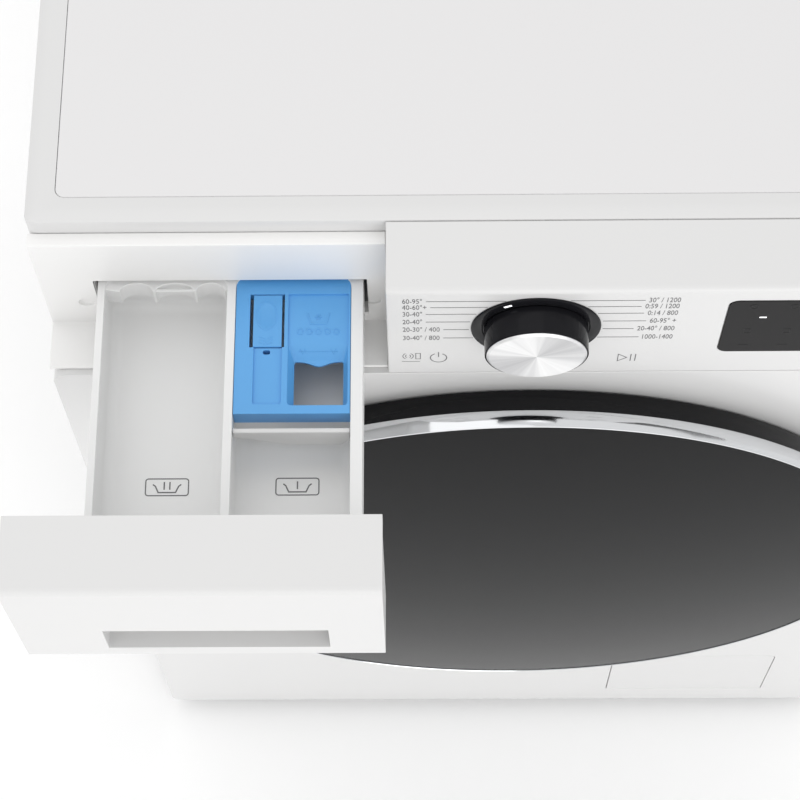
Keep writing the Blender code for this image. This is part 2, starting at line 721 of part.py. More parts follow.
def drawer_front():
    """Hollow front of the drawer; its top reaches back over the fascia, with a finger pocket in its face."""
    x0 = -HALF
    x1 = -DRAWER_SIDE - SHUT
    back = FASCIA_FRONT - GAP
    outline = front_profile(PANEL_BOTTOM) + [
        (WORKTOP_FRONT - GAP - 0.0005, FASCIA_TOP + 0.0006), (back, FASCIA_TOP + 0.0006),
        (back, PANEL_BOTTOM),
    ]
    front = prism("drawer_front", outline, "X", x0, x1, WHITE_PLASTIC)
    wall = 0.004
    hollow = box(
        "hollow", (x0 + wall, x1 - wall), (FRONT + wall, back + 0.01),
        (TRAY_TOP + 0.006, FASCIA_TOP + 0.0001),
        WHITE_PLASTIC,
    )
    low = PANEL_BOTTOM + GRIP_LOW
    high = low + GRIP_HEIGHT
    behind = FRONT + GRIP_DEPTH
    section = [
        (FRONT - 0.01, low), (behind - 0.010, low), (behind, low + 0.008), (behind, high + 0.006),
        (behind - 0.010, high + 0.006), (FRONT + 0.004, high), (FRONT - 0.01, high),
    ]
    grip = prism("grip", section, "X", x0 + GRIP_LEFT, x1 - GRIP_RIGHT, WHITE_PLASTIC)
    cut(front, hollow, grip)
    return front


def drawer_tray():
    """Tray with a powder compartment and a narrower one under the siphon cap."""
    y0 = FASCIA_FRONT
    y1 = WORKTOP_FRONT + DISPENSER_DEPTH - 0.006
    tray = box("drawer_tray", (TRAY_LEFT, TRAY_RIGHT), (y0, y1), (TRAY_BOTTOM, TRAY_TOP), TRAY_PLASTIC)
    inside = (y0 + 0.005, y1 - 0.006)
    height = (TRAY_BOTTOM + TRAY_FLOOR, TRAY_TOP + 0.01)
    left = box("left", (TRAY_LEFT + TRAY_WALL, TRAY_DIVIDER - TRAY_MIDDLE), inside, height, TRAY_PLASTIC)
    right = box("right", (TRAY_DIVIDER + TRAY_MIDDLE, TRAY_RIGHT - TRAY_RIGHT_WALL), inside, height, TRAY_PLASTIC)
    return cut(tray, left, right)


def right_compartment():
    """Its two sides, less the gap that the pieces in it keep."""
    return TRAY_DIVIDER + TRAY_MIDDLE + GAP, TRAY_RIGHT - TRAY_RIGHT_WALL - GAP


def siphon_cap():
    """Blue cover of the softener cup: lies in the right compartment with a pour opening in front."""
    x0, x1 = right_compartment()
    y0 = FASCIA_FRONT + CAP_FRONT
    y1 = WORKTOP_FRONT + DISPENSER_DEPTH - 0.012 - GAP
    top = TRAY_TOP - CAP_DOWN
    through = (top - CAP_THICK - 0.01, top + 0.01)
    cap = box("siphon_cap", (x0, x1), (y0, y1), (top - CAP_THICK, top), BLUE_PLASTIC)
    wall = 0.002
    under = box(
        "under", (x0 + wall, x1 - wall), (y0 + wall, y1 - wall), (through[0], top - CAP_SKIN), BLUE_PLASTIC,
    )
    pour = prism(
        "pour", rounded((x0 + 0.0360, y0 + 0.0059), (x1 - 0.0055, y0 + 0.0367), 0.004), "Z", *through,
        BLUE_PLASTIC,
    )
    slot = (x0 + TAB_X[0] - 0.0016, x0 + TAB_X[1] + 0.0016)
    tab = box("tab_slot", slot, (y0 + TAB_START - 0.0005, y1 - 0.012), through, BLUE_PLASTIC)
    cut(cap, under, pour, tab)
    return cap, x0, y0, y1


def release_tab(x0, y0, y1):
    """Springy tab pressed down to take the drawer right out; it bends at its front end."""
    high = TRAY_TOP - CAP_DOWN - 0.0005
    low = high - TAB_THICK
    x = (x0 + TAB_X[0], x0 + TAB_X[1])
    near = y0 + TAB_START
    tab = box("release_tab", x, (near, y1 - 0.0125), (low, high), BLUE_PLASTIC)
    pivot("tab_axis", (sum(x) / 2, near, (low + high) / 2), tab)
    return tab


def liquid_divider():
    """Low wall across the right compartment, ahead of the siphon cap."""
    y = FASCIA_FRONT + DIVIDER_FRONT
    return box("liquid_divider", right_compartment(), (y, y + DIVIDER_THICK),
               (TRAY_BOTTOM + TRAY_FLOOR + GAP, TRAY_TOP - 0.003), WHITE_PLASTIC)


def build_drawer():
    front = drawer_front()
    tray = drawer_tray()
    cap, x0, y0, y1 = siphon_cap()
    tab = release_tab(x0, y0, y1)
    divider = liquid_divider()
    out = Vector((0, -DRAWER_TRAVEL, 0))
    slide = bpy.data.objects.new("drawer_slide", None)
    bpy.context.scene.collection.objects.link(slide)
    for piece in (front, tray, cap, divider, bpy.data.objects["tab_axis"]):
        piece.parent = slide
    slide.location = out


# ---------------------------------------------------------------- door

def door_pocket(name):
    """Room for the hinge in the left of the door."""
    half = HINGE_HALF + 0.010
    return box(name, (-DOOR_R - 0.02, HINGE_X + 0.031), (FRONT - DOOR_BAND - 0.0008, FRONT + 0.01),
               (DOOR_Z - half, DOOR_Z + half), DARK_PLASTIC)


def build_door():
    band = FRONT - DOOR_BAND
    edge = band - DOOR_RING + 0.0007
    glass_r = DOOR_R - 0.0024

    sphere = (glass_r ** 2 + DOOR_DOME ** 2) / (2 * DOOR_DOME)
    steps = 5
    outer = []
    inner = []
    for i in range(steps + 1):
        r = glass_r * i / steps
        rise = math.sqrt(sphere ** 2 - r ** 2) - (sphere - DOOR_DOME)
        outer.append((r, edge - rise))
        inner.append((min(r, glass_r), edge - rise + COVER_THICK))
    cover = turned("door_cover", outer + inner[::-1], 0, DOOR_Z, DARK_GLASS, 48)

    ring_profile = [
        (glass_r + GAP, edge - 0.0007), (DOOR_R - 0.0009, edge + 0.0002), (DOOR_R, band - 0.0003),
        (glass_r - RING_SEAT, band - 0.0003), (glass_r - RING_SEAT, edge + COVER_THICK + GAP),
        (glass_r + GAP, edge + COVER_THICK + GAP),
    ]
    ring = turned("door_trim_ring", ring_profile, 0, DOOR_Z, CHROME, 48)

    back = FRONT - 0.0010
    flange = band + 0.0030
    hold = BOWL_FLANGE_R + FACET
    frame_profile = [
        (DOOR_R - 0.0007, band), (DOOR_BAND_BACK_R, back), (DOOR_BAND_BACK_R - 0.003, back),
        (DOOR_BAND_BACK_R + 0.0048, flange), (hold, flange), (hold, band),
    ]
    frame = turned("door_frame", frame_profile, 0, DOOR_Z, BLACK_GLOSS, 48)
    cut(frame, door_pocket("room"))

    inner_r = BOWL_MOUTH_R + 0.012
    clamp_profile = [
        (DOOR_BAND_BACK_R - 0.0073, flange + GAP), (DOOR_BAND_BACK_R - 0.0073, back - 0.0030),
        (DOOR_BAND_BACK_R - 0.0200, back), (inner_r + 0.012, back), (inner_r, back - 0.0040),
        (inner_r, flange + GAP),
    ]
    clamp = turned("door_back_ring", clamp_profile, 0, DOOR_Z, GREY_PLASTIC, 48)
    cut(clamp, door_pocket("room"))

    glass = 0.004
    outside = [(BOWL_FLANGE_R, flange), (inner_r - 0.002, flange), (BOWL_MOUTH_R, flange + 0.004)]
    inside = [(BOWL_FLANGE_R, band), (inner_r - 0.004, band), (BOWL_MOUTH_R - glass, band + 0.006)]
    bend = 5
    depth = BOWL_DEPTH
    for i in range(1, bend + 1):
        turn = math.radians(90 * i / bend)
        r = BOWL_BODY_R * math.cos(turn) + 0.030 * (1 - i / bend)
        y = FRONT + depth - 0.050 + 0.050 * math.sin(turn)
        outside.append((r if i < bend else 0, y))
        inside.append((max(r - glass, 0) if i < bend else 0, y - glass))
    bowl = turned("door_bowl", outside + inside[::-1], 0, DOOR_Z, CLEAR_GLASS, 32)

    hook = prism(
        "door_hook",
        [(HOOK_X - 0.004, back + GAP), (HOOK_X + 0.004, back + GAP), (HOOK_X + 0.004, FRONT + 0.018),
         (HOOK_X + 0.0075, FRONT + 0.018), (HOOK_X + 0.0045, FRONT + 0.026), (HOOK_X - 0.001, FRONT + 0.028),
         (HOOK_X - 0.004, FRONT + 0.024)],
        "Z", DOOR_Z - 0.006, DOOR_Z + 0.006, STEEL,
    )

    axis_y = FRONT - HINGE_OUT
    eye = circle(HINGE_X, axis_y, HINGE_EYE_R, 20)
    half = HINGE_HALF
    arm = prism("door_hinge_arm", eye, "Z", DOOR_Z - half, DOOR_Z + half, GALVANISED)
    leaf = box(
        "leaf", (HINGE_X, HINGE_X + 0.052), (band - GAP - 0.0030, band - GAP), (DOOR_Z - half, DOOR_Z + half),
        GALVANISED,
    )
    pin = prism(
        "pin", circle(HINGE_X, axis_y, HINGE_PIN_R, 16), "Z", DOOR_Z - half - 0.006, DOOR_Z + half + 0.006,
        GALVANISED,
    )
    join(arm, leaf, pin)
    pivot("door_axis", (HINGE_X, axis_y, DOOR_Z), cover, ring, frame, clamp, bowl, hook, arm)


def hinge_bracket():
    """Plate behind the front panel with two ears that come forward through it to the axis."""
    axis_y = FRONT - HINGE_OUT
    plate = box(
        "door_hinge_bracket", (HINGE_X + 0.005, HINGE_X + 0.060),
        (FRONT + SHEET + GAP, FRONT + SHEET + 0.0045), (DOOR_Z - 0.045, DOOR_Z + 0.045), GALVANISED,
    )
    eye = []
    for i in range(11):
        turn = math.radians(90 + 180 * i / 10)
        eye.append((HINGE_X + HINGE_EAR_R * math.cos(turn), axis_y + HINGE_EAR_R * math.sin(turn)))
    foot_y = FRONT + SHEET + 0.0010
    outline = eye + [
        (HINGE_X + 0.0165, axis_y - HINGE_EAR_R), (HINGE_X + 0.0215, axis_y), (HINGE_X + 0.0215, foot_y),
        (HINGE_X + 0.0110, foot_y), (HINGE_X + 0.0110, axis_y + HINGE_EAR_R),
    ]
    ears = []
    for side in (-1, 1):
        a = DOOR_Z + side * (HINGE_HALF + GAP)
        b = DOOR_Z + side * (HINGE_HALF + 0.0055)
        ears.append(prism("ear", outline, "Z", min(a, b), max(a, b), GALVANISED))
    hole = prism(
        "pin_hole", circle(HINGE_X, axis_y, HINGE_PIN_R + RUNNING, 16), "Z", DOOR_Z - 0.04, DOOR_Z + 0.04,
        GALVANISED,
    )
    join(plate, *ears)
    return cut(plate, hole)


def door_lock():
    """Electric lock behind the front panel; the hook goes into its slot."""
    x = (HOOK_X - 0.014, HOOK_X + 0.030)
    case = box(
        "door_lock", x, (FRONT + SHEET + GAP, FRONT + 0.038), (DOOR_Z - 0.045, DOOR_Z + 0.045), DARK_PLASTIC,
    )
    slot = box("slot", (HOOK_X - 0.009, HOOK_X + 0.012), (FRONT - 0.01, FRONT + 0.032),
               (DOOR_Z - 0.014, DOOR_Z + 0.014), DARK_PLASTIC)
    return cut(case, slot)


# ---------------------------------------------------------------- tub and drum

def gasket():
    """Rubber bellows from the front panel's mouth to the tub's."""
    y = FRONT
    end = FRONT + TUB_FRONT - GAP
    outer = [
        (MOUTH_R - GAP, y + 0.0005), (MOUTH_R - GAP, y + 0.010), (MOUTH_R - 0.012, y + 0.016),
        (MOUTH_R - 0.014, y + 0.026), (MOUTH_R - 0.002, y + 0.034), (MOUTH_R - 0.002, y + 0.050),
        (MOUTH_R - 0.006, end),
    ]
    thick = 0.0030
    inner = [
        (MOUTH_R - 0.012, end), (MOUTH_R - 0.010, y + 0.047), (MOUTH_R - 0.010, y + 0.037),
        (MOUTH_R - 0.014 - thick, y + 0.029), (MOUTH_R - 0.022, y + 0.026), (MOUTH_R - 0.022, y + 0.022),
        (MOUTH_R - 0.013 - thick, y + 0.013), (MOUTH_R - GAP - thick, y + 0.0005),
    ]
    return turned("gasket", outer + inner, 0, DOOR_Z, RUBBER, 36)


def tub_front():
    """Front half of the tub: a short barrel with an inward lip around the mouth."""
    y0 = FRONT + TUB_FRONT
    y1 = FRONT + TUB_SPLIT - GAP
    mouth = MOUTH_R - 0.014
    wall = TUB_WALL
    profile = [
        (mouth, y0), (TUB_R - 0.010, y0), (TUB_R, y0 + 0.010), (TUB_R, y1), (TUB_R - wall, y1),
        (TUB_R - wall, y0 + 0.010 + wall), (TUB_R - 0.012, y0 + wall), (mouth, y0 + wall),
    ]
    return turned("tub_front", profile, 0, DOOR_Z, GREY_PLASTIC, 40)


def tub_rear():
    """Rear half of the tub with the bearing boss and the lugs that the springs hook into."""
    y0 = FRONT + TUB_SPLIT
    y1 = FRONT + TUB_BACK
    wall = TUB_WALL
    bore = BEARING_R + RUNNING
    front_seat = y1 - BEARING_SEAT
    profile = [
        (TUB_R - wall, y0), (TUB_R, y0), (TUB_R, y1 - 0.012), (TUB_R - 0.012, y1), (bore, y1),
        (bore, front_seat), (BEARING_R + 0.008, front_seat), (BEARING_R + 0.012, y1 - 0.020),
        (TUB_R - 0.016, y1 - 0.020), (TUB_R - wall, y1 - 0.034),
    ]
    tub = turned("tub_rear", profile, 0, DOOR_Z, GREY_PLASTIC, 40)
    y = FRONT + SUSPENSION_Y
    lugs = []
    for side in (-1, 1):
        near = side * (SUSPENSION_X + 0.012)
        far = side * math.sqrt((TUB_R - wall / 2) ** 2 - (SPRING_LUG_Z - 0.004 - DOOR_Z) ** 2)
        lugs.append(box("lug", (min(near, far), max(near, far)), (y - 0.012, y + 0.012),
                        (SPRING_LUG_Z - 0.008, SPRING_LUG_Z), GREY_PLASTIC))
    join(tub, *lugs)
    return tub


def counterweight(name, start, stop):
    """Cast block bolted to the front of the tub, a part of a ring."""
    inner = MOUTH_R + 0.004
    outer = TUB_R - 0.011
    steps = 14
    points = []
    for i in range(steps + 1):
        t = math.radians(start + (stop - start) * i / steps)
        points.append((outer * math.cos(t), DOOR_Z + outer * math.sin(t)))
    for i in range(steps, -1, -1):
        t = math.radians(start + (stop - start) * i / steps)
        points.append((inner * math.cos(t), DOOR_Z + inner * math.sin(t)))
    return prism(name, points, "Y", FRONT + 0.028, FRONT + TUB_FRONT - GAP, CAST_IRON)


def bearing(name, y):
    inner = SHAFT_R + RUNNING
    profile = [
        (inner, y), (BEARING_R, y), (BEARING_R, y + BEARING_WIDTH - GAP), (inner, y + BEARING_WIDTH - GAP),
    ]
    return turned(name, profile, 0, DOOR_Z, STEEL, 24)


def stator():
    """Ring of wound poles on the back of the tub."""
    y = FRONT + TUB_BACK + GAP
    teeth = 18
    points = []
    for i in range(teeth):
        slot_r = STATOR_R - 0.020
        for part, r in ((0.0, STATOR_R), (0.62, STATOR_R), (0.70, slot_r), (0.92, slot_r)):
            t = 2 * math.pi * (i + part) / teeth
            points.append((r * math.cos(t), DOOR_Z + r * math.sin(t)))
    ring = prism("motor_stator", points, "Y", y, y + 0.022, COPPER)
    hole = prism("hole", circle(0, DOOR_Z, 0.055, 32), "Y", y - 0.01, y + 0.04, COPPER)
    return cut(ring, hole)


def heater():
    """Bent heating element lying between the drum and the bottom of the tub."""
    r = (DRUM_R + TUB_R - TUB_WALL) / 2
    y1 = FRONT + TUB_BACK - 0.036
    y0 = FRONT + 0.285
    spread = 0.026
    drop = math.sqrt(r ** 2 - spread ** 2)
    z = DOOR_Z - drop
    points = [(-spread, y1, z), (-spread, y0 + spread, z)]
    for i in range(1, 8):
        t = math.radians(180 * i / 8)
        x = -spread * math.cos(t)
        points.append((x, y0 + spread - spread * math.sin(t), DOOR_Z - math.sqrt(r ** 2 - x ** 2)))
    points += [(spread, y0 + spread, z), (spread, y1, z)]
    return swept("heater", points, 0.0035, STEEL, 6)


def spring(name, side):
    """Hanging coil spring with straight ends, between the shelf and the tub's lug."""
    x = side * SUSPENSION_X
    y = FRONT + SUSPENSION_Y
    top = SPRING_BRACKET_Z - GAP
    low = SPRING_LUG_Z + GAP
    points = [(x, y, low), (x, y, low + 0.018)]
    steps = 9
    coil_low = low + 0.026
    coil_top = top - 0.026
    for i in range(SPRING_TURNS * steps + 1):
        t = 2 * math.pi * i / steps
        z = coil_low + (coil_top - coil_low) * i / (SPRING_TURNS * steps)
        points.append((x + SPRING_R * math.cos(t), y + SPRING_R * math.sin(t), z))
    points += [(x, y, top - 0.018), (x, y, top)]
    return swept(name, points, SPRING_WIRE, STEEL, 4)


def damper(side, where):
    """Friction damper: a tube on the pan and a rod that follows the tub."""
    x = side * DAMPER_X
    y = FRONT + SUSPENSION_Y
    base = BASE_Z + 0.004 + GAP
    top = 0.165
    tube_profile = [
        (0, base), (DAMPER_R, base), (DAMPER_R, top), (DAMPER_ROD_R + 0.0012, top),
        (DAMPER_ROD_R + 0.0012, base + 0.010), (0, base + 0.010),
    ]
    turned_z("damper_tube_" + where, tube_profile, x, y, DARK_PLASTIC, 20)
    reach = DOOR_Z - math.sqrt(TUB_R ** 2 - (DAMPER_X - DAMPER_ROD_R) ** 2) - 0.0008
    rod_profile = [(0, 0.080), (DAMPER_ROD_R, 0.080), (DAMPER_ROD_R, reach), (0, reach)]
    turned_z("damper_rod_" + where, rod_profile, x, y, GREY_PLASTIC, 20)


def build_tub():
    gasket()
    tub_front()
    tub_rear()
    counterweight("counterweight", 25, 155)
    seat = FRONT + TUB_BACK - BEARING_SEAT
    bearing("bearing_front", seat)
    bearing("bearing_rear", seat + BEARING_WIDTH)
    stator()
    heater()
    spring("spring_left", -1)
    spring("spring_right", 1)
    damper(-1, "left")
    damper(1, "right")


def build_drum():
    y0 = FRONT + DRUM_FRONT
    y1 = FRONT + DRUM_BACK
    wall = DRUM_WALL
    profile = [
        (DRUM_LIP_R, y0 + 0.010), (DRUM_LIP_R + 0.006, y0), (DRUM_R - 0.020, y0), (DRUM_R, y0 + 0.020),
        (DRUM_R, y1), (0, y1), (0, y1 - wall), (DRUM_R - wall, y1 - wall), (DRUM_R - wall, y0 + 0.021),
        (DRUM_R - 0.021, y0 + wall), (DRUM_LIP_R + 0.007, y0 + wall), (DRUM_LIP_R + wall, y0 + 0.010),
    ]
    shell = turned("drum_shell", profile, 0, DOOR_Z, STEEL, 40)

    lifters = []
    seat = math.sqrt((DRUM_R - wall - 0.0012) ** 2 - LIFTER_HALF ** 2)
    crest = DRUM_R - LIFTER_HIGH
    section = [
        (-LIFTER_HALF, seat), (-0.012, crest + 0.006), (-0.006, crest), (0.006, crest),
        (0.012, crest + 0.006), (LIFTER_HALF, seat),
    ]
    for i in range(3):
        turn = math.radians(120 * i)
        points = [
            (a * math.cos(turn) - b * math.sin(turn), DOOR_Z + a * math.sin(turn) + b * math.cos(turn))
            for a, b in section
        ]
        lifters.append(prism(f"drum_lifter_{i + 1}", points, "Y", y0 + 0.045, y1 - 0.030, TRAY_PLASTIC))

    arms = []
    for i in range(3):
        for offset, r in ((-46, 0.052), (-6.5, DRUM_R - 0.018), (6.5, DRUM_R - 0.018), (46, 0.052)):
            t = math.radians(90 + 120 * i + offset)
            arms.append((r * math.cos(t), DOOR_Z + r * math.sin(t)))
    spider = prism("drum_spider", arms, "Y", y1 + GAP, y1 + 0.015, CAST)

    shaft = turned(
        "drum_shaft",
        [(0, y1 + 0.015 + GAP), (SHAFT_R, y1 + 0.015 + GAP), (SHAFT_R, FRONT + TUB_BACK + 0.028),
         (0.012, FRONT + TUB_BACK + 0.028), (0.012, FRONT + TUB_BACK + 0.045), (0, FRONT + TUB_BACK + 0.045)],
        0, DOOR_Z, STEEL, 24,
    )

    y = FRONT + TUB_BACK
    rotor_profile = [
        (0.012 + GAP, y + 0.029), (ROTOR_R - 0.004, y + 0.029), (ROTOR_R - 0.004, y + 0.004),
        (ROTOR_R, y + 0.004),
        (ROTOR_R, y + 0.034), (0.012 + GAP, y + 0.034),
    ]
    rotor = turned("motor_rotor", rotor_profile, 0, DOOR_Z, GALVANISED, 32)
    pivot("drum_axis", (0, y1, DOOR_Z), shell, spider, shaft, rotor, *lifters)


build_cabinet()
dial()
build_drawer()
hinge_bracket()
door_lock()
build_door()
build_tub()
build_drum()
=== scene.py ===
import math

import bmesh
import bpy
from mathutils import Matrix, Vector


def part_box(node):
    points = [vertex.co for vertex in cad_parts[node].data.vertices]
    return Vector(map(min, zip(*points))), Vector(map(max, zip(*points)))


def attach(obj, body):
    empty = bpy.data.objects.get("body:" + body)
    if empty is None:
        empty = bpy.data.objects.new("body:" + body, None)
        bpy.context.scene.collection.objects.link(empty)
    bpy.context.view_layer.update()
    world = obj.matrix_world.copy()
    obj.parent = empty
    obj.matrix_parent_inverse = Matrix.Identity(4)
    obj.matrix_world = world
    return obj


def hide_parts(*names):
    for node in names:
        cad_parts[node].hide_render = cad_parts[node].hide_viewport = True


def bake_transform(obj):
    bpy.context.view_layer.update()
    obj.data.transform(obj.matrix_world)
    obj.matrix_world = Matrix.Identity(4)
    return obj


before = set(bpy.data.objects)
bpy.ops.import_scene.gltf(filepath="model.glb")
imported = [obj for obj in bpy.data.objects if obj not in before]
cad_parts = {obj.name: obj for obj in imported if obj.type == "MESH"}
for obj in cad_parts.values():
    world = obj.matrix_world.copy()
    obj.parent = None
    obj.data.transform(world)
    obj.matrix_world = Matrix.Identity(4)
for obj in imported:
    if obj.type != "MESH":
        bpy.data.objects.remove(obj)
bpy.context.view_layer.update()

scene = bpy.context.scene

# ------------------------------------------------------------------ studio
# A pale floor under broad soft light. The camera stands high in front of the machine, a little
# to its left, and looks steeply down on the open drawer.
CAMERA_PLACE = Vector((-0.0686, -0.7863, 1.982))
CAMERA_DOWN = math.radians(66.41)
CAMERA_HEADING = math.radians(-2.13)
CAMERA_ROLL = math.radians(-2.27)
FLOOR_REACH = 9.0

scene.view_settings.view_transform = "Standard"
lens = bpy.data.cameras.new("camera")
lens.sensor_width = 36
lens.lens = 99.3
lens.shift_x = 0.015
lens.shift_y = 0.0138
camera = bpy.data.objects.new("camera", lens)
scene.collection.objects.link(camera)
scene.camera = camera

ahead = Vector((
    math.sin(CAMERA_HEADING) * math.cos(CAMERA_DOWN),
    math.cos(CAMERA_HEADING) * math.cos(CAMERA_DOWN),
    -math.sin(CAMERA_DOWN),
))
level = Vector((math.cos(CAMERA_HEADING), -math.sin(CAMERA_HEADING), 0))
right = level * math.cos(CAMERA_ROLL) + level.cross(ahead) * math.sin(CAMERA_ROLL)
turned_frame = Matrix((right, right.cross(ahead), -ahead)).transposed().to_4x4()
camera.matrix_world = Matrix.Translation(CAMERA_PLACE) @ turned_frame


def softbox(name, place, aim, size, watts):
    """A square area light that faces the point it is aimed at."""
    light = bpy.data.lights.new(name, "AREA")
    light.shape = "SQUARE"
    light.size = size
    light.energy = watts
    made = bpy.data.objects.new(name, light)
    made.matrix_world = Matrix.Translation(place) @ (
        (Vector(aim) - Vector(place)).to_track_quat("-Z", "Y").to_matrix().to_4x4()
    )
    scene.collection.objects.link(made)


softbox("overhead_soft", (-0.9, 0.5, 3.6), (0, 0, 0.5), 2.6, 9)
softbox("front_soft", (1.1, -3.6, 1.7), (0, 0, 0.5), 2.4, 34)

world = bpy.data.worlds.new("studio_world")
scene.world = world
world.use_nodes = True
world.node_tree.nodes["Background"].inputs["Color"].default_value = (1, 1, 1, 1)
world.node_tree.nodes["Background"].inputs["Strength"].default_value = 0.97

floor_look = bpy.data.materials.new("floor_paper")
floor_look.use_nodes = True
floor_shader = floor_look.node_tree.nodes["Principled BSDF"]
floor_shader.inputs["Base Color"].default_value = (1.0, 1.0, 1.0, 1)
floor_shader.inputs["Roughness"].default_value = 0.9
floor_mesh = bpy.data.meshes.new("studio_floor")
floor_mesh.from_pydata(
    [(-FLOOR_REACH, -FLOOR_REACH, 0), (FLOOR_REACH, -FLOOR_REACH, 0),
     (FLOOR_REACH, FLOOR_REACH, 0), (-FLOOR_REACH, FLOOR_REACH, 0)], [], [(0, 1, 2, 3)],
)
floor_mesh.materials.append(floor_look)
studio_floor = bpy.data.objects.new("studio_floor", floor_mesh)
scene.collection.objects.link(studio_floor)

# ------------------------------------------------------------------ floor pan and feet
# The pan is moulded in grey polypropylene and stands on four levelling feet. Each foot is a
# ribbed rubber sole on a galvanised stem, locked by a nut that is turned up against the pan.
FOOT_SIDES = 48
NUT_ACROSS = 0.0195
STEM_R = 0.0055
THREAD_PITCH = 0.0015


def add_node(tree, kind, inputs=(), **settings):
    """One node with its settings; an input's value is a constant or another node's output."""
    made = tree.nodes.new(kind)
    for name, value in settings.items():
        setattr(made, name, value)
    for key, value in dict(inputs).items():
        if isinstance(value, bpy.types.NodeSocket):
            tree.links.new(value, made.inputs[key])
        else:
            made.inputs[key].default_value = value
    return made


def maths(tree, operation, *values, **settings):
    """The result of one Math node."""
    return add_node(tree, "ShaderNodeMath", dict(enumerate(values)), operation=operation, **settings).outputs[0]


def inputs_of(tree, plan):
    """Adds a tree's named inputs, each with its kind and starting value, and returns their sockets."""
    for name, kind, value in plan:
        made = tree.interface.new_socket(name, in_out="INPUT", socket_type="NodeSocket" + kind)
        if value is not None:
            made.default_value = value
    return tree.nodes.new("NodeGroupInput").outputs


def skin_group():
    """Surface of a moulded or coated part: slow drift of tone, fine grain and uneven gloss."""
    group = bpy.data.node_groups.new("part_skin", "ShaderNodeTree")
    given = inputs_of(group, (
        ("Colour", "Color", (0.8, 0.8, 0.8, 1)), ("Drift Colour", "Color", (0.78, 0.78, 0.78, 1)),
        ("Drift Scale", "Float", 5.0), ("Grain Scale", "Float", 900.0),
        ("Gloss", "Float", 0.35), ("Gloss Spread", "Float", 0.05),
    ))
    for name, kind in (("Colour", "Color"), ("Roughness", "Float"), ("Height", "Float")):
        group.interface.new_socket(name, in_out="OUTPUT", socket_type="NodeSocket" + kind)
    place = group.nodes.new("ShaderNodeTexCoord").outputs["Object"]
    drift = add_node(group, "ShaderNodeTexNoise", {"Vector": place, "Scale": given["Drift Scale"], "Detail": 3.0})
    grain = add_node(group, "ShaderNodeTexNoise", {"Vector": place, "Scale": given["Grain Scale"], "Detail": 2.0})
    tone = add_node(group, "ShaderNodeMix", {"Factor": drift.outputs["Fac"], "A": given["Colour"],
                                             "B": given["Drift Colour"]}, data_type="RGBA")
    sway = maths(group, "SUBTRACT", drift.outputs["Fac"], 0.5)
    add_node(group, "NodeGroupOutput", {
        "Colour": tone.outputs["Result"], "Height": grain.outputs["Fac"],
        "Roughness": maths(group, "MULTIPLY_ADD", sway, given["Gloss Spread"], given["Gloss"]),
    })
    return group


PART_SKIN = skin_group()


def surfaced(name, colour, drift, gloss, grain=900, relief=0.04, drift_scale=5.0, spread=0.05, **constants):
    """A material on the part skin; the constants are set on the shader's own sockets."""
    look = bpy.data.materials.new(name)
    look.use_nodes = True
    tree = look.node_tree
    shader = tree.nodes["Principled BSDF"]
    for key, value in constants.items():
        shader.inputs[key.replace("_", " ")].default_value = value
    skin = add_node(tree, "ShaderNodeGroup", node_tree=PART_SKIN)
    for key, value in {
        "Colour": (*colour, 1), "Drift Colour": (*drift, 1), "Drift Scale": drift_scale, "Grain Scale": grain,
        "Gloss": gloss, "Gloss Spread": spread,
    }.items():
        skin.inputs[key].default_value = value
    bump = add_node(tree, "ShaderNodeBump", {"Height": skin.outputs["Height"], "Strength": relief,
                                             "Distance": 0.0004})
    for given, wanted in ((skin.outputs["Colour"], "Base Color"), (skin.outputs["Roughness"], "Roughness"),
                          (bump.outputs["Normal"], "Normal")):
        tree.links.new(given, shader.inputs[wanted])
    return look


GREY_MOULDED = surfaced("grey_moulded", (0.44, 0.45, 0.46), (0.41, 0.42, 0.43), 0.5, grain=1400, relief=0.12)
BLACK_MOULDED = surfaced("black_moulded", (0.022, 0.022, 0.024), (0.03, 0.03, 0.032), 0.48, grain=1600,
                         relief=0.12)
ZINC = surfaced("zinc_plated", (0.56, 0.57, 0.58), (0.47, 0.48, 0.50), 0.36, grain=500, relief=0.06,
                drift_scale=60, spread=0.16, Metallic=1.0)
SOLE_RUBBER = surfaced("sole_rubber", (0.035, 0.035, 0.037), (0.05, 0.05, 0.052), 0.75, grain=1200, relief=0.2)


def settle(made):
    """Applies a piece's modifiers to its mesh."""
    result = made.evaluated_get(bpy.context.evaluated_depsgraph_get())
    mesh = bpy.data.meshes.new_from_object(result)
    made.modifiers.clear()
    made.data = mesh


def loose(form, name="form"):
    """An object made from a bmesh, which is used up."""
    mesh = bpy.data.meshes.new(name)
    form.to_mesh(mesh)
    form.free()
    made = bpy.data.objects.new(name, mesh)
    scene.collection.objects.link(made)
    return made


def fit(name, form, looks, body, stands_for=(), edge=0.0, rounds=3, smooth=35):
    """Finishes a piece: eased edges, materials, and the body and CAD nodes that it belongs to."""
    made = loose(form, name)
    mesh = made.data
    if "custom_normal" in mesh.attributes:
        mesh.attributes.remove(mesh.attributes["custom_normal"])
    mesh.materials.clear()
    for look in looks:
        mesh.materials.append(look)
    mesh.shade_smooth()
    mesh.set_sharp_from_angle(angle=math.radians(smooth))
    if edge:
        ease = made.modifiers.new("ease", "BEVEL")
        ease.width = edge
        ease.segments = rounds
        ease.limit_method = "ANGLE"
        ease.angle_limit = math.radians(32)
        ease.miter_outer = "MITER_ARC"
        even = made.modifiers.new("even", "WEIGHTED_NORMAL")
        even.keep_sharp = True
        settle(made)
    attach(made, body)
    if stands_for:
        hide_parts(*stands_for)
    return made


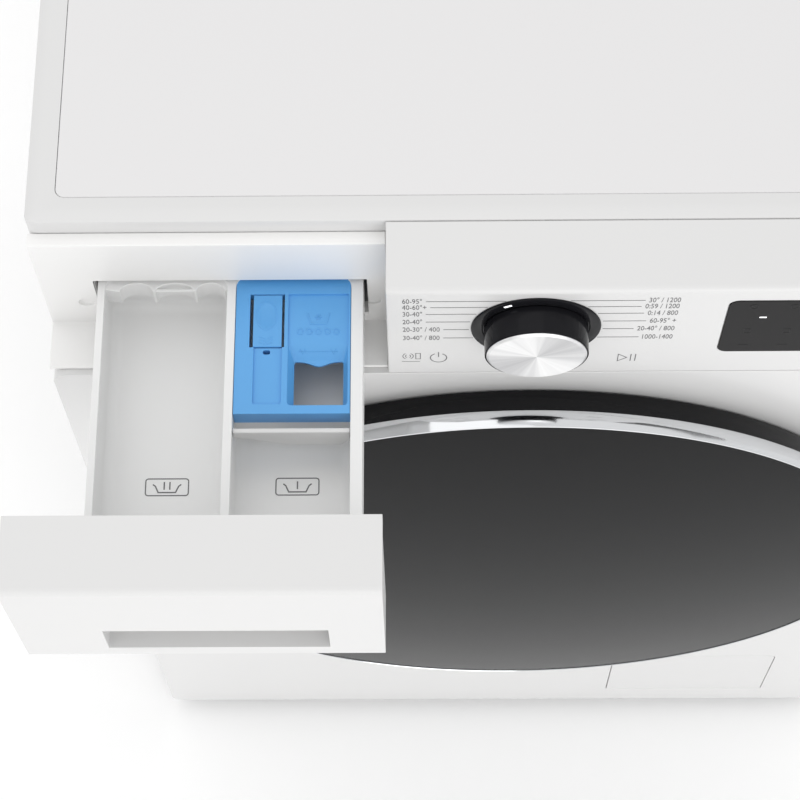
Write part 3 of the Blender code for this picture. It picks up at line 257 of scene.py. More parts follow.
def lathe(form, profile, axis, centre, sides=96, look=0, closed=True):
    """Adds a profile of (radius, along) points spun round an axis Y or Z through centre."""
    place = {
        "Y": lambda r, t, s: (centre[0] + r * math.cos(t), s, centre[1] + r * math.sin(t)),
        "Z": lambda r, t, s: (centre[0] + r * math.cos(t), centre[1] + r * math.sin(t), s),
    }[axis]
    turns = [2 * math.pi * i / sides for i in range(sides)]
    rings = []
    for radius, along in profile:
        if radius < 1e-7:
            rings.append([form.verts.new(place(0, 0, along))] * sides)
        else:
            rings.append([form.verts.new(place(radius, t, along)) for t in turns])
    pairs = list(zip(rings, rings[1:] + rings[:1])) if closed else list(zip(rings, rings[1:]))
    faces = []
    for first, second in pairs:
        for i in range(sides):
            j = (i + 1) % sides
            corners = []
            for vert in (first[i], first[j], second[j], second[i]):
                if vert not in corners:
                    corners.append(vert)
            if len(corners) > 2:
                faces.append(form.faces.new(corners))
    for face in faces:
        face.material_index = look
    bmesh.ops.recalc_face_normals(form, faces=faces)


def extrude(form, outline, axis, low, high, look=0):
    """Adds an outline of (a, b) points run along X, Y or Z; a and b are the other two axes in order."""
    place = {
        "X": lambda a, b, t: (t, a, b), "Y": lambda a, b, t: (a, t, b), "Z": lambda a, b, t: (a, b, t),
    }[axis]
    near = [form.verts.new(place(a, b, low)) for a, b in outline]
    far = [form.verts.new(place(a, b, high)) for a, b in outline]
    faces = [form.faces.new(near), form.faces.new(far)]
    for i in range(len(outline)):
        j = (i + 1) % len(outline)
        faces.append(form.faces.new((near[i], near[j], far[j], far[i])))
    for face in faces:
        face.material_index = look
    bmesh.ops.recalc_face_normals(form, faces=faces)


def block(x, y, z):
    """A box between pairs of X, Y and Z."""
    form = bmesh.new()
    extrude(form, [(x[0], y[0]), (x[1], y[0]), (x[1], y[1]), (x[0], y[1])], "Z", z[0], z[1])
    return form


def thread(radius, low, high, pitch, depth=0.0006):
    """Profile points of a threaded stem, as a run of shallow rings."""
    points = []
    count = int((high - low) / pitch)
    for i in range(count):
        at = low + i * pitch
        points += [(radius - depth, at), (radius, at + pitch / 2)]
    return points + [(radius - depth, low + count * pitch)]


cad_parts["base_pan"].data.materials.clear()
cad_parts["base_pan"].data.materials.append(GREY_MOULDED)

for corner in ("front_left", "front_right", "rear_left", "rear_right"):
    low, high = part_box("foot_" + corner)
    centre = ((low.x + high.x) / 2, (low.y + high.y) / 2)
    reach = (high.x - low.x) / 2
    foot = bmesh.new()
    sole = [(0, 0), (reach - 0.003, 0), (reach - 0.001, 0.001), (reach, 0.003)]
    for i in range(3):
        at = 0.0035 + 0.0022 * i
        sole += [(reach, at), (reach - 0.0008, at + 0.0007), (reach - 0.0008, at + 0.0011), (reach, at + 0.0018)]
    sole += [(reach - 0.002, 0.0118), (STEM_R + 0.003, 0.0135), (0, 0.0135)]
    lathe(foot, sole, "Z", centre, FOOT_SIDES, 0)
    nut = [(centre[0] + NUT_ACROSS / 2 / math.cos(math.radians(30)) * math.cos(math.radians(60 * i)),
            centre[1] + NUT_ACROSS / 2 / math.cos(math.radians(30)) * math.sin(math.radians(60 * i)))
           for i in range(6)]
    extrude(foot, nut, "Z", 0.0175, high.z, 1)
    lathe(foot, [(0, 0.0130)] + thread(STEM_R, 0.0130, 0.0180, THREAD_PITCH) + [(0, 0.0180)], "Z", centre,
          FOOT_SIDES, 1)
    fit("levelling_foot_" + corner, foot, (SOLE_RUBBER, ZINC), "cabinet", ("foot_" + corner,),
        edge=0.0003, rounds=2)

# ------------------------------------------------------------------ side panels
# Each side is one steel sheet, pressed with a shallow field that stiffens it and stoved in
# white enamel. It is cut back at the top in front, where the control panel and drawer pass it.
FIELD_DEPTH = 0.0009
FIELD_MARGIN_Y = 0.070
FIELD_Z = (0.115, 0.690)
FIELD_RADIUS = 0.035

WHITE_ENAMEL = surfaced("white_enamel", (0.70, 0.697, 0.693), (0.69, 0.688, 0.685), 0.30, grain=420, relief=0.05,
                        drift_scale=3.0, spread=0.06, Coat_Weight=0.25, Coat_Roughness=0.12)


def copied(node):
    """A CAD node's mesh with its loose triangles merged."""
    form = bmesh.new()
    form.from_mesh(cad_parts[node].data)
    bmesh.ops.remove_doubles(form, verts=form.verts, dist=1e-5)
    bmesh.ops.dissolve_limit(form, angle_limit=math.radians(0.4), verts=form.verts, edges=form.edges)
    for face in form.faces:
        face.material_index = 0
    return form


def carve(form, *others, operation="DIFFERENCE"):
    """Cuts other forms out of a form, or joins them to it; all are used up."""
    made = loose(form)
    used = [loose(other, "other") for other in others]
    for other in used:
        step = made.modifiers.new("carve", "BOOLEAN")
        step.operation = operation
        step.solver = "EXACT"
        step.object = other
    settle(made)
    result = bmesh.new()
    result.from_mesh(made.data)
    for gone in [made] + used:
        bpy.data.objects.remove(gone)
    bmesh.ops.remove_doubles(result, verts=result.verts, dist=1e-6)
    bmesh.ops.dissolve_limit(result, angle_limit=math.radians(0.4), verts=result.verts, edges=result.edges)
    return result


def corners(low, high, radius, steps=8):
    """Outline of a rounded rectangle between two (a, b) corners."""
    points = []
    middles = ((high[0] - radius, high[1] - radius), (low[0] + radius, high[1] - radius),
               (low[0] + radius, low[1] + radius), (high[0] - radius, low[1] + radius))
    for quarter, (a, b) in enumerate(middles):
        for i in range(steps + 1):
            turn = math.radians(90 * quarter + 90 * i / steps)
            points.append((a + radius * math.cos(turn), b + radius * math.sin(turn)))
    return points


for side, node in ((-1, "left_side_panel"), (1, "right_side_panel")):
    low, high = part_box(node)
    outer = side * max(abs(low.x), abs(high.x))
    field = bmesh.new()
    outline = corners((low.y + FIELD_MARGIN_Y, FIELD_Z[0]), (high.y - FIELD_MARGIN_Y, FIELD_Z[1]), FIELD_RADIUS)
    inner = outer - side * FIELD_DEPTH
    extrude(field, outline, "X", min(inner, outer + side * 0.01), max(inner, outer + side * 0.01))
    fit(node.replace("panel", "sheet"), carve(copied(node), field), (WHITE_ENAMEL,), "cabinet",
        (node,), edge=0.0007)

# ------------------------------------------------------------------ back
# The back is a plain white sheet with two pressed ribs. A ribbed grey cover closes its service
# opening, four plugs fill the transit bolts' holes, and pan-head screws hold the lot.
COVER_RIBS = 9
RIB_HALF = 0.005
PLUG_R = 0.0165
PLUG_X = 0.232
SCREW_R = 0.0042

low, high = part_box("back_panel")
back_face = high.y
cover_low, cover_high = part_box("rear_cover")
ribs = []
for z in (cover_low.z - 0.045, cover_high.z + 0.045):
    rib = bmesh.new()
    extrude(rib, corners((low.x + 0.05, z - 0.009), (high.x - 0.05, z + 0.009), 0.0085), "Y",
            back_face - 0.0009, back_face + 0.01)
    ribs.append(rib)
fit("back_sheet", carve(copied("back_panel"), *ribs), (WHITE_ENAMEL,), "cabinet", ("back_panel",),
    edge=0.0005)

cover = bmesh.new()
extrude(cover, corners((cover_low.x, cover_low.z), (cover_high.x, cover_high.z), 0.075, 16), "Y",
        cover_low.y, cover_low.y + 0.0045)
field = bmesh.new()
extrude(field, corners((cover_low.x + 0.018, cover_low.z + 0.018), (cover_high.x - 0.018, cover_high.z - 0.018),
                       0.060, 16), "Y", cover_low.y + 0.001, cover_high.y - 0.0012)
bars = []
for i in range(COVER_RIBS):
    z = cover_low.z + (cover_high.z - cover_low.z) * (i + 1) / (COVER_RIBS + 1)
    bar = bmesh.new()
    outline = corners((cover_low.x + 0.050, z - RIB_HALF), (cover_high.x - 0.050, z + RIB_HALF), 0.0045, 6)
    extrude(bar, outline, "Y", cover_low.y + 0.002, cover_high.y)
    bars.append(bar)
fit("service_cover", carve(cover, field, *bars, operation="UNION"), (GREY_MOULDED,), "cabinet",
    ("rear_cover",), edge=0.0009)

plugs = bmesh.new()
for x in (-PLUG_X, PLUG_X):
    for z in (cover_low.z + 0.045, cover_high.z - 0.045):
        y = back_face
        lathe(plugs, [(0, y + 0.0003), (PLUG_R, y + 0.0003), (PLUG_R, y + 0.0014), (PLUG_R - 0.002, y + 0.0030),
                      (PLUG_R - 0.006, y + 0.0030), (PLUG_R - 0.0070, y + 0.0018), (0, y + 0.0018)], "Y",
              (x, z), 40)
fit("transit_plugs", plugs, (GREY_MOULDED,), "cabinet")


def growing_tree(name, plan):
    """A Geometry Nodes tree and the sockets of its named inputs."""
    tree = bpy.data.node_groups.new(name, "GeometryNodeTree")
    tree.is_modifier = True
    return tree, inputs_of(tree, (("Geometry", "Geometry", None), *plan, ("Look", "Material", None)))


def ended(tree, geometry, look):
    """Ends a Geometry Nodes tree with real geometry in one material."""
    tree.interface.new_socket("Geometry", in_out="OUTPUT", socket_type="NodeSocketGeometry")
    real = add_node(tree, "GeometryNodeRealizeInstances", {"Geometry": geometry})
    painted = add_node(tree, "GeometryNodeSetMaterial", {"Geometry": real.outputs["Geometry"], "Material": look})
    add_node(tree, "NodeGroupOutput", {"Geometry": painted.outputs["Geometry"]})
    return tree


def screw_tree():
    """Pan-head screws with a cross recess, one on each point of the mesh it is given."""
    tree, given = growing_tree("pan_head_screws", (
        ("Head Radius", "Float", SCREW_R), ("Head Height", "Float", 0.0022), ("Slot Width", "Float", 0.0010),
        ("Turn", "Vector", (0, 0, 0)),
    ))
    head = add_node(tree, "GeometryNodeMeshCone", {
        "Vertices": 20, "Radius Bottom": given["Head Radius"], "Depth": given["Head Height"],
        "Radius Top": maths(tree, "MULTIPLY", given["Head Radius"], 0.72),
    })
    reach = maths(tree, "MULTIPLY", given["Head Radius"], 1.1)
    cross = add_node(tree, "GeometryNodeMeshBoolean", {"Mesh 1": head.outputs["Mesh"]}, operation="DIFFERENCE",
                     solver="EXACT")
    lift = add_node(tree, "ShaderNodeCombineXYZ", {"Z": given["Head Height"]}).outputs[0]
    for long_way, short_way in (("X", "Y"), ("Y", "X")):
        size = add_node(tree, "ShaderNodeCombineXYZ", {
            long_way: reach, short_way: given["Slot Width"], "Z": given["Head Height"]})
        bar = add_node(tree, "GeometryNodeMeshCube", {"Size": size.outputs[0]})
        raised = add_node(tree, "GeometryNodeTransform", {"Geometry": bar.outputs["Mesh"], "Translation": lift})
        tree.links.new(raised.outputs["Geometry"], cross.inputs["Mesh 2"])
    spread = add_node(tree, "GeometryNodeInstanceOnPoints", {
        "Points": given["Geometry"], "Instance": cross.outputs["Mesh"], "Rotation": given["Turn"],
    })
    return ended(tree, spread.outputs["Instances"], given["Look"])


def grown(name, form, tree, values):
    """A plain mesh made by a node tree from a bmesh, with its inputs set by name."""
    made = loose(form, name)
    step = made.modifiers.new(tree.name, "NODES")
    step.node_group = tree
    for item in tree.interface.items_tree:
        if item.item_type == "SOCKET" and item.in_out == "INPUT" and item.name in values:
            step[item.identifier] = values[item.name]
    settle(made)
    made.data.shade_smooth()
    made.data.set_sharp_from_angle(angle=math.radians(35))
    return made


PAN_SCREWS = screw_tree()


def back_screws(name, places):
    """Galvanised screws driven forwards into the back at each place."""
    points = bmesh.new()
    for place in places:
        points.verts.new(place)
    made = grown(name, points, PAN_SCREWS, {
        "Head Radius": SCREW_R, "Turn": (math.radians(-90), 0, 0), "Look": ZINC,
    })
    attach(made, "cabinet")


y = back_face + 0.0012
edge_x = high.x - 0.012
places = [(x, y, z) for x in (-edge_x, edge_x) for z in (low.z + 0.030, 0.30, 0.56, high.z - 0.030)]
places += [(x, y, z) for x in (-0.15, 0.15) for z in (low.z + 0.012, high.z - 0.012)]
back_screws("back_screws", places)
y = cover_low.y + 0.0055
places = [(x, y, z) for x in (cover_low.x + 0.010, cover_high.x - 0.010)
          for z in (cover_low.z + 0.10, (cover_low.z + cover_high.z) / 2, cover_high.z - 0.10)]
places += [(x, y, z) for x in (-0.075, 0.075) for z in (cover_low.z + 0.010, cover_high.z - 0.010)]
back_screws("cover_screws", places)

# ------------------------------------------------------------------ rear outlets
# A white inlet valve with a threaded nozzle, a grey drain spigot with hose barbs and a black
# gland for the mains lead leave the back. No hose or lead is fitted.
INLET_PITCH = 0.0018
INLET_R = 0.0113

valve_low, valve_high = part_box("inlet_valve")
WHITE_MOULDED = surfaced("white_moulded", (0.70, 0.697, 0.693), (0.69, 0.688, 0.686), 0.34, grain=1300,
                         relief=0.05, drift_scale=4.0, spread=0.06)



def dressed(name, node, look, body, edge, rounds=3):
    """A piece that keeps its CAD node's form, with eased edges and a material of its own."""
    fit(name, copied(node), (look,), body, (node,), edge, rounds)


spot = ((valve_low.x + valve_high.x) / 2, (valve_low.z + valve_high.z) / 2)
dressed("inlet_body", "inlet_valve", WHITE_MOULDED, "cabinet", 0.0004)
rings = bmesh.new()
start, stop = valve_high.y - 0.0085, valve_high.y - 0.0010
bore = INLET_R - 0.0013
lathe(rings, thread(INLET_R, start, stop, INLET_PITCH, 0.0007) + [(bore, stop), (bore, start)], "Y", spot, 48)
fit("inlet_thread", rings, (WHITE_MOULDED,), "cabinet")
dressed("drain_spigot", "drain_outlet", GREY_MOULDED, "cabinet", 0.0004)
dressed("mains_gland", "mains_inlet", BLACK_MOULDED, "cabinet", 0.0004)

# ------------------------------------------------------------------ drain pump and filter
# The pump's white housing sits low at the right behind the flap. The filter screws into it
# from the front, with a bar to grip and a rim of ribs.
dressed("pump_housing", "drain_pump", WHITE_MOULDED, "cabinet", 0.0006)
dressed("filter_plug", "drain_filter", GREY_MOULDED, "drain_filter", 0.0006)

# ------------------------------------------------------------------ tub
# Two halves of grey glass-filled moulding meet at a flange. Iron weights are bolted to the
# front, a heater lies in the sump, and the hub carries the two bearings.
GLASS_FILLED = surfaced("glass_filled_moulding", (0.34, 0.345, 0.35), (0.40, 0.405, 0.41), 0.55, grain=500,
                        relief=0.25, drift_scale=9.0, spread=0.12)
IRON = surfaced("cast_iron", (0.055, 0.055, 0.058), (0.085, 0.080, 0.078), 0.72, grain=420, relief=0.7,
                drift_scale=26.0, spread=0.12, Metallic=0.35)
GROUND_STEEL = surfaced("ground_steel", (0.55, 0.55, 0.56), (0.62, 0.62, 0.63), 0.24, grain=1500, relief=0.05,
                        drift_scale=60, spread=0.06, Metallic=1.0)
DULL_STEEL = surfaced("dull_steel", (0.46, 0.46, 0.47), (0.40, 0.39, 0.38), 0.38, grain=900, relief=0.1,
                      drift_scale=30, spread=0.1, Metallic=1.0)
dressed("tub_front_half", "tub_front", GLASS_FILLED, "tub", 0.0008)
dressed("tub_rear_half", "tub_rear", GLASS_FILLED, "tub", 0.0008)
dressed("balance_weight", "counterweight", IRON, "tub", 0.003)
dressed("race_front", "bearing_front", GROUND_STEEL, "tub", 0.0006)
dressed("race_rear", "bearing_rear", GROUND_STEEL, "tub", 0.0006)
dressed("heater_element", "heater", DULL_STEEL, "tub", 0.0004)

# ------------------------------------------------------------------ suspension and door seal
# Two coil springs hang the tub from the cabinet, two friction struts steady it, and the grey
# rubber bellows joins its mouth to the front sheet.
COIL_TURNS = 15
WIRE_R = 0.0014
WIRE_SIDES = 10
COIL_STEPS = 22
SEAL_RUBBER = surfaced("seal_rubber", (0.20, 0.20, 0.205), (0.17, 0.17, 0.175), 0.48, grain=600, relief=0.12,
                       drift_scale=14, spread=0.08)


def bridged(rings, loop=False):
    """A form whose rings of points are joined in turn; its ends are closed, or its last ring joins the first."""
    form = bmesh.new()
    rows = [[form.verts.new(point) for point in ring] for ring in rings]
    for first, second in zip(rows, rows[1:] + rows[:1] if loop else rows[1:]):
        for i in range(len(first)):
            j = (i + 1) % len(first)
            form.faces.new((first[i], first[j], second[j], second[i]))
    if not loop:
        form.faces.new(rows[0])
        form.faces.new(rows[-1])
    bmesh.ops.recalc_face_normals(form, faces=form.faces)
    return form


for side in ("left", "right"):
    low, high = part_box(f"spring_{side}")
    middle = ((low.x + high.x) / 2, (low.y + high.y) / 2)
    coil_r = (high.x - low.x) / 2 - WIRE_R
    bottom, top = low.z + 0.018, high.z - 0.018
    path = [Vector((middle[0], middle[1], low.z + WIRE_R + 0.006 * i / 3)) for i in range(4)]
    path[0] += Vector((0.004, 0, 0))
    for i in range(COIL_TURNS * COIL_STEPS + 1):
        share = i / (COIL_TURNS * COIL_STEPS)
        turn = math.tau * COIL_TURNS * share
        grow = min(1.0, share * COIL_TURNS * 1.6, (1 - share) * COIL_TURNS * 1.6)
        path.append(Vector((middle[0] + coil_r * grow * math.cos(turn), middle[1] + coil_r * grow * math.sin(turn),
                            bottom + (top - bottom) * share)))
    path += [Vector((middle[0], middle[1], high.z - WIRE_R - 0.006 * (3 - i) / 3)) for i in range(4)]
    path[-1] += Vector((0.004, 0, 0))
    rows = []
    for i, here in enumerate(path):
        ahead = (path[min(i + 1, len(path) - 1)] - path[max(i - 1, 0)]).normalized()
        side_way = ahead.cross(Vector((0, 0, 1)))
        side_way = side_way.normalized() if side_way.length > 0.05 else Vector((1, 0, 0))
        up_way = side_way.cross(ahead).normalized()
        rows.append([here + WIRE_R * (side_way * math.cos(math.tau * k / WIRE_SIDES) +
                                      up_way * math.sin(math.tau * k / WIRE_SIDES)) for k in range(WIRE_SIDES)])
    coil = loose(bridged(rows), f"hanger_spring_{side}")
    coil.data.materials.append(GROUND_STEEL)
    coil.data.shade_smooth()
    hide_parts(f"spring_{side}")
    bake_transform(coil)

    dressed(f"strut_tube_{side}", f"damper_tube_{side}", BLACK_MOULDED, "cabinet", 0.0005)
    dressed(f"strut_rod_{side}", f"damper_rod_{side}", GREY_MOULDED, "tub", 0.0005)

low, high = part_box("gasket")
r = (high.x - low.x) / 2
y0, y1 = low.y, high.y
middle_z = (low.z + high.z) / 2
outer = [(0, 0), (0, 0.0095), (0.0040, 0.0126), (0.0115, 0.0156), (0.0136, 0.0205), (0.0134, 0.0258),
         (0.0085, 0.0303), (0.0022, 0.0335), (0.0017, 0.0370), (0.0017, 0.0490), (0.0035, 0.0545)]
inner = [(0.0097, 0.0495), (0.0097, 0.0385), (0.0112, 0.0345), (0.0158, 0.0300), (0.0206, 0.0268),
         (0.0217, 0.0245), (0.0206, 0.0218), (0.0160, 0.0150), (0.0120, 0.0128), (0.0052, 0.0096),
         (0.0030, 0.0070), (0.0030, 0)]
profile = [(r - away, y0 + along) for away, along in outer] + [(r - 0.0057, y1), (r - 0.0117, y1)]
profile += [(r - away, y0 + along) for away, along in inner]
bellows = bmesh.new()
lathe(bellows, profile, "Y", (0, middle_z), 160)
seal = loose(bellows, "mouth_seal")
seal.data.materials.append(SEAL_RUBBER)
seal.data.shade_smooth()
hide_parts("gasket")
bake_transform(seal)

# ------------------------------------------------------------------ motor
# A direct-drive motor on the tub's back: wound poles on a laminated ring, with a pressed
# steel rotor cup that turns outside them.
dressed("pole_ring", "motor_stator", DULL_STEEL, "tub", 0.0004)
dressed("rotor_cup", "motor_rotor", ZINC, "drum", 0.0012)

# ------------------------------------------------------------------ drum
# A stainless basket rolled from perforated sheet, with three hollow lifters inside and a cast
# spider that joins it to the shaft.
BASKET_STEEL = surfaced("basket_steel", (0.60, 0.60, 0.61), (0.54, 0.54, 0.55), 0.20, grain=1300, relief=0.05,
                        drift_scale=18, spread=0.07, Metallic=1.0)
CAST_ALUMINIUM = surfaced("cast_aluminium", (0.52, 0.52, 0.53), (0.44, 0.44, 0.45), 0.5, grain=480, relief=0.5,
                          drift_scale=24, spread=0.1, Metallic=0.9)
HOLE_COLUMNS = 90
HOLE_ROWS = 18
HOLE_SHARE = 0.30
SHEET_THICK = 0.0012
LIP_R = 0.166


def basket_tree():
    """Perforated barrel: a flat grid of cells, each with a rounded hole, wrapped round the drum's axis."""
    tree, given = growing_tree("perforated_barrel", (
        ("Columns", "Int", 90), ("Rows", "Int", 18), ("Radius", "Float", 0.24), ("Length", "Float", 0.3),
        ("Middle", "Vector", (0, 0, 0)), ("Hole Share", "Float", 0.3), ("Thickness", "Float", 0.0012),
    ))
    grid = add_node(tree, "GeometryNodeMeshGrid", {
        "Size X": maths(tree, "MULTIPLY", given["Radius"], math.tau), "Size Y": given["Length"],
        "Vertices X": maths(tree, "ADD", given["Columns"], 1.0),
        "Vertices Y": maths(tree, "ADD", given["Rows"], 1.0),
    })
    cells = add_node(tree, "GeometryNodeExtrudeMesh", {"Mesh": grid.outputs["Mesh"], "Offset Scale": 0.0,
                                                       "Individual": True}, mode="FACES")
    shrunk = add_node(tree, "GeometryNodeScaleElements", {
        "Geometry": cells.outputs["Mesh"], "Selection": cells.outputs["Top"], "Scale": given["Hole Share"],
    }, domain="FACE")
    opened = add_node(tree, "GeometryNodeDeleteGeometry", {
        "Geometry": shrunk.outputs["Geometry"], "Selection": cells.outputs["Top"],
    }, domain="FACE")
    rounded = add_node(tree, "GeometryNodeSubdivisionSurface", {"Mesh": opened.outputs["Geometry"], "Level": 1})
    spot = add_node(tree, "ShaderNodeSeparateXYZ", {0: tree.nodes.new("GeometryNodeInputPosition").outputs[0]})
    turn = maths(tree, "DIVIDE", spot.outputs["X"], given["Radius"])
    bent = add_node(tree, "ShaderNodeCombineXYZ", {
        "X": maths(tree, "MULTIPLY", given["Radius"], maths(tree, "COSINE", turn)), "Y": spot.outputs["Y"],
        "Z": maths(tree, "MULTIPLY", given["Radius"], maths(tree, "SINE", turn)),
    })
    moved = add_node(tree, "ShaderNodeVectorMath", {0: bent.outputs[0], 1: given["Middle"]}, operation="ADD")
    barrel = add_node(tree, "GeometryNodeSetPosition", {"Geometry": rounded.outputs["Mesh"],
                                                        "Position": moved.outputs[0]})
    thick = add_node(tree, "GeometryNodeExtrudeMesh", {
        "Mesh": barrel.outputs["Geometry"], "Offset Scale": given["Thickness"], "Individual": False}, mode="FACES")
    back = add_node(tree, "GeometryNodeFlipFaces", {"Mesh": barrel.outputs["Geometry"]})
    both = tree.nodes.new("GeometryNodeJoinGeometry")
    tree.links.new(thick.outputs["Mesh"], both.inputs[0])
    tree.links.new(back.outputs["Mesh"], both.inputs[0])
    merged = add_node(tree, "GeometryNodeMergeByDistance", {"Geometry": both.outputs[0], "Distance": 0.00002})
    return ended(tree, merged.outputs["Geometry"], given["Look"])


low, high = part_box("drum_shell")
middle_z = (low.z + high.z) / 2
r = (high.x - low.x) / 2
start, stop = low.y + 0.040, high.y - 0.022
seed = bmesh.new()
seed.verts.new((0, 0, 0))
barrel = grown("basket_barrel", seed, basket_tree(), {
    "Columns": HOLE_COLUMNS, "Rows": HOLE_ROWS, "Radius": r - SHEET_THICK, "Length": stop - start,
    "Middle": (0, (start + stop) / 2, middle_z), "Hole Share": HOLE_SHARE, "Thickness": SHEET_THICK * 0.9,
    "Look": BASKET_STEEL,
})
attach(barrel, "drum")
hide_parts("drum_shell")
ends = bmesh.new()
y0, y1, w = low.y, high.y, SHEET_THICK
lathe(ends, [
    (LIP_R, y0 + 0.010), (LIP_R + 0.0015, y0 + 0.0035), (LIP_R + 0.006, y0), (r - 0.020, y0),
    (r - 0.0077, y0 + 0.0030), (r - 0.0020, y0 + 0.0100), (r, y0 + 0.020), (r, start + 0.001),
    (r - w, start + 0.001), (r - w, y0 + 0.0205),
    (r - 0.0032, y0 + 0.0106), (r - 0.0085, y0 + 0.0040), (r - 0.0205, y0 + w), (LIP_R + 0.0066, y0 + w),
    (LIP_R + 0.0028, y0 + 0.0042), (LIP_R + w, y0 + 0.010),
], "Y", (0, middle_z), 128)
lathe(ends, [(r, stop - 0.001), (r, y1), (0, y1), (0, y1 - w), (r - w, y1 - w), (r - w, stop - 0.001)], "Y",
      (0, middle_z), 128)
fit("basket_ends", ends, (BASKET_STEEL,), "drum", smooth=30)
for i in (1, 2, 3):
    dressed(f"basket_lifter_{i}", f"drum_lifter_{i}", WHITE_MOULDED, "drum", 0.002)
dressed("basket_spider", "drum_spider", CAST_ALUMINIUM, "drum", 0.0015)
dressed("basket_shaft", "drum_shaft", GROUND_STEEL, "drum", 0.0006)

# ------------------------------------------------------------------ front panel
# One pressed steel sheet with folded edges and rounded lower corners. Its mouth is turned
# inwards to carry the door's gasket, and the filter's flap sits flush in its lower right.
low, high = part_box("front_panel")
face = low.y
dressed("front_sheet", "front_panel", WHITE_ENAMEL, "cabinet", 0.0005)

dressed("filter_flap", "service_flap", WHITE_MOULDED, "service_flap", 0.0005)

# ------------------------------------------------------------------ drawer recess
# The wall behind the drawer's front, moulded in white with the floor of the recess. The tray
# slides through its opening, and a deep screw boss sits on each side of it.
# Painted light: this white is set far lighter than the other white mouldings, to offset the shade that falls in the
# recess.
RECESS_PAINTED_LIGHT = surfaced("recess_moulded_painted_light", (0.90, 0.895, 0.885), (0.88, 0.876, 0.868), 0.36, grain=1300,
                          relief=0.05, drift_scale=4.0)
dressed("recess_wall", "dispenser_fascia", RECESS_PAINTED_LIGHT, "cabinet", 0.0007)
HOUSING_MOULDED = surfaced("housing_moulded", (0.62, 0.62, 0.63), (0.58, 0.58, 0.59), 0.5, grain=1300, relief=0.1)
dressed("drawer_housing_case", "dispenser_box", HOUSING_MOULDED, "cabinet", 0.0006)

# ------------------------------------------------------------------ control panel
# A white moulded fascia whose top falls slightly to a rounded nose. Programme marks, thin
# leader lines and touch symbols are printed on its face in dark grey.
INK_LIFT = 0.00005
INK_THICK = 0.00006
MARK_HEIGHT = 0.0062
MARK_SQUEEZE = 0.52
LINE = 0.00055
ROW_Z = (0.8345, 0.8266, 0.8177, 0.8074, 0.7970, 0.7855)
LEFT_MARKS = ("60-95°", "40-60°+", "30-40°", "20-40°", "20-30° / 400", "30-40° / 800")
RIGHT_MARKS = ("30° / 1200", "0:59 / 1200", "0:14 / 800", "60-95° +", "20-40° / 800", "1000-1400")
LEFT_MARK_X = -0.0793
RIGHT_MARK_X = 0.0825
POWER_AT = (-0.0576, 0.7575)
START_Z = (0.7515, 0.7612)
HAND_AT = (-0.0762, 0.7600)
SIGN_LINE = 0.0006
FINE_LINE = 0.00045

SCALE_INK = surfaced("scale_ink", (0.10, 0.10, 0.105), (0.13, 0.13, 0.135), 0.45, relief=0.0)

dressed("panel_fascia", "control_panel", WHITE_MOULDED, "cabinet", 0.0008)


def stroke(form, points, width, place, thick, closed=False):
    """Adds a flat line of even width along (a, b) points; place turns (a, b, height) into a point."""
    path = [Vector(p) for p in points]
    count = len(path)
    left = []
    right = []
    for i, here in enumerate(path):
        before = path[i - 1] if closed or i else None
        after = path[(i + 1) % count] if closed or i < count - 1 else None
        ahead = Vector((0, 0))
        if before is not None:
            ahead += (here - before).normalized()
        if after is not None:
            ahead += (after - here).normalized()
        ahead.normalize()
        across = Vector((-ahead.y, ahead.x))
        reach = width / 2
        if before is not None and after is not None:
            reach /= max(0.5, abs(across.dot(Vector((-(after - here).y, (after - here).x)).normalized())))
        left.append(here + across * reach)
        right.append(here - across * reach)
    verts = [[form.verts.new(place(p.x, p.y, h)) for p in row] for row, h in
             ((left, 0), (right, 0), (right, thick), (left, thick))]
    faces = []
    for i in range(count if closed else count - 1):
        j = (i + 1) % count
        for k in range(4):
            m = (k + 1) % 4
            faces.append(form.faces.new((verts[k][i], verts[k][j], verts[m][j], verts[m][i])))
    if not closed:
        faces.append(form.faces.new([row[0] for row in verts]))
        faces.append(form.faces.new([row[-1] for row in verts]))
    bmesh.ops.recalc_face_normals(form, faces=faces)


def arc(centre, across, up, start, stop, steps=24):
    """Points along an ellipse's arc, with the angles in degrees."""
    return [
        (centre[0] + across * math.cos(math.radians(start + (stop - start) * i / steps)),
         centre[1] + up * math.sin(math.radians(start + (stop - start) * i / steps)))
        for i in range(steps + 1)
    ]


def on_face(a, b, h):
    """A point of the printed face; h stands out of it."""
    return (a, face - INK_LIFT - h, b)


def add_words(form, words, at, align):
    """Adds figures as thin solid letters on the printed face, and returns their ends."""
    text = bpy.data.curves.new("figures", "FONT")
    text.body = words
    text.size = MARK_HEIGHT / 0.73
    text.align_x = align
    text.align_y = "CENTER"
    text.extrude = INK_THICK / 2
    text.resolution_u = 3
    made = bpy.data.objects.new("figures", text)
    scene.collection.objects.link(made)
    mesh = bpy.data.meshes.new_from_object(made.evaluated_get(bpy.context.evaluated_depsgraph_get()))
    mesh.transform(
        Matrix.Translation((at[0], face - INK_LIFT - INK_THICK / 2, at[1]))
        @ Matrix.Rotation(math.radians(90), 4, "X") @ Matrix.Diagonal((MARK_SQUEEZE, 1, 1, 1))
    )
    form.from_mesh(mesh)
    bpy.data.objects.remove(made)
    reach = [v.co.x for v in mesh.vertices]
    return min(reach), max(reach)


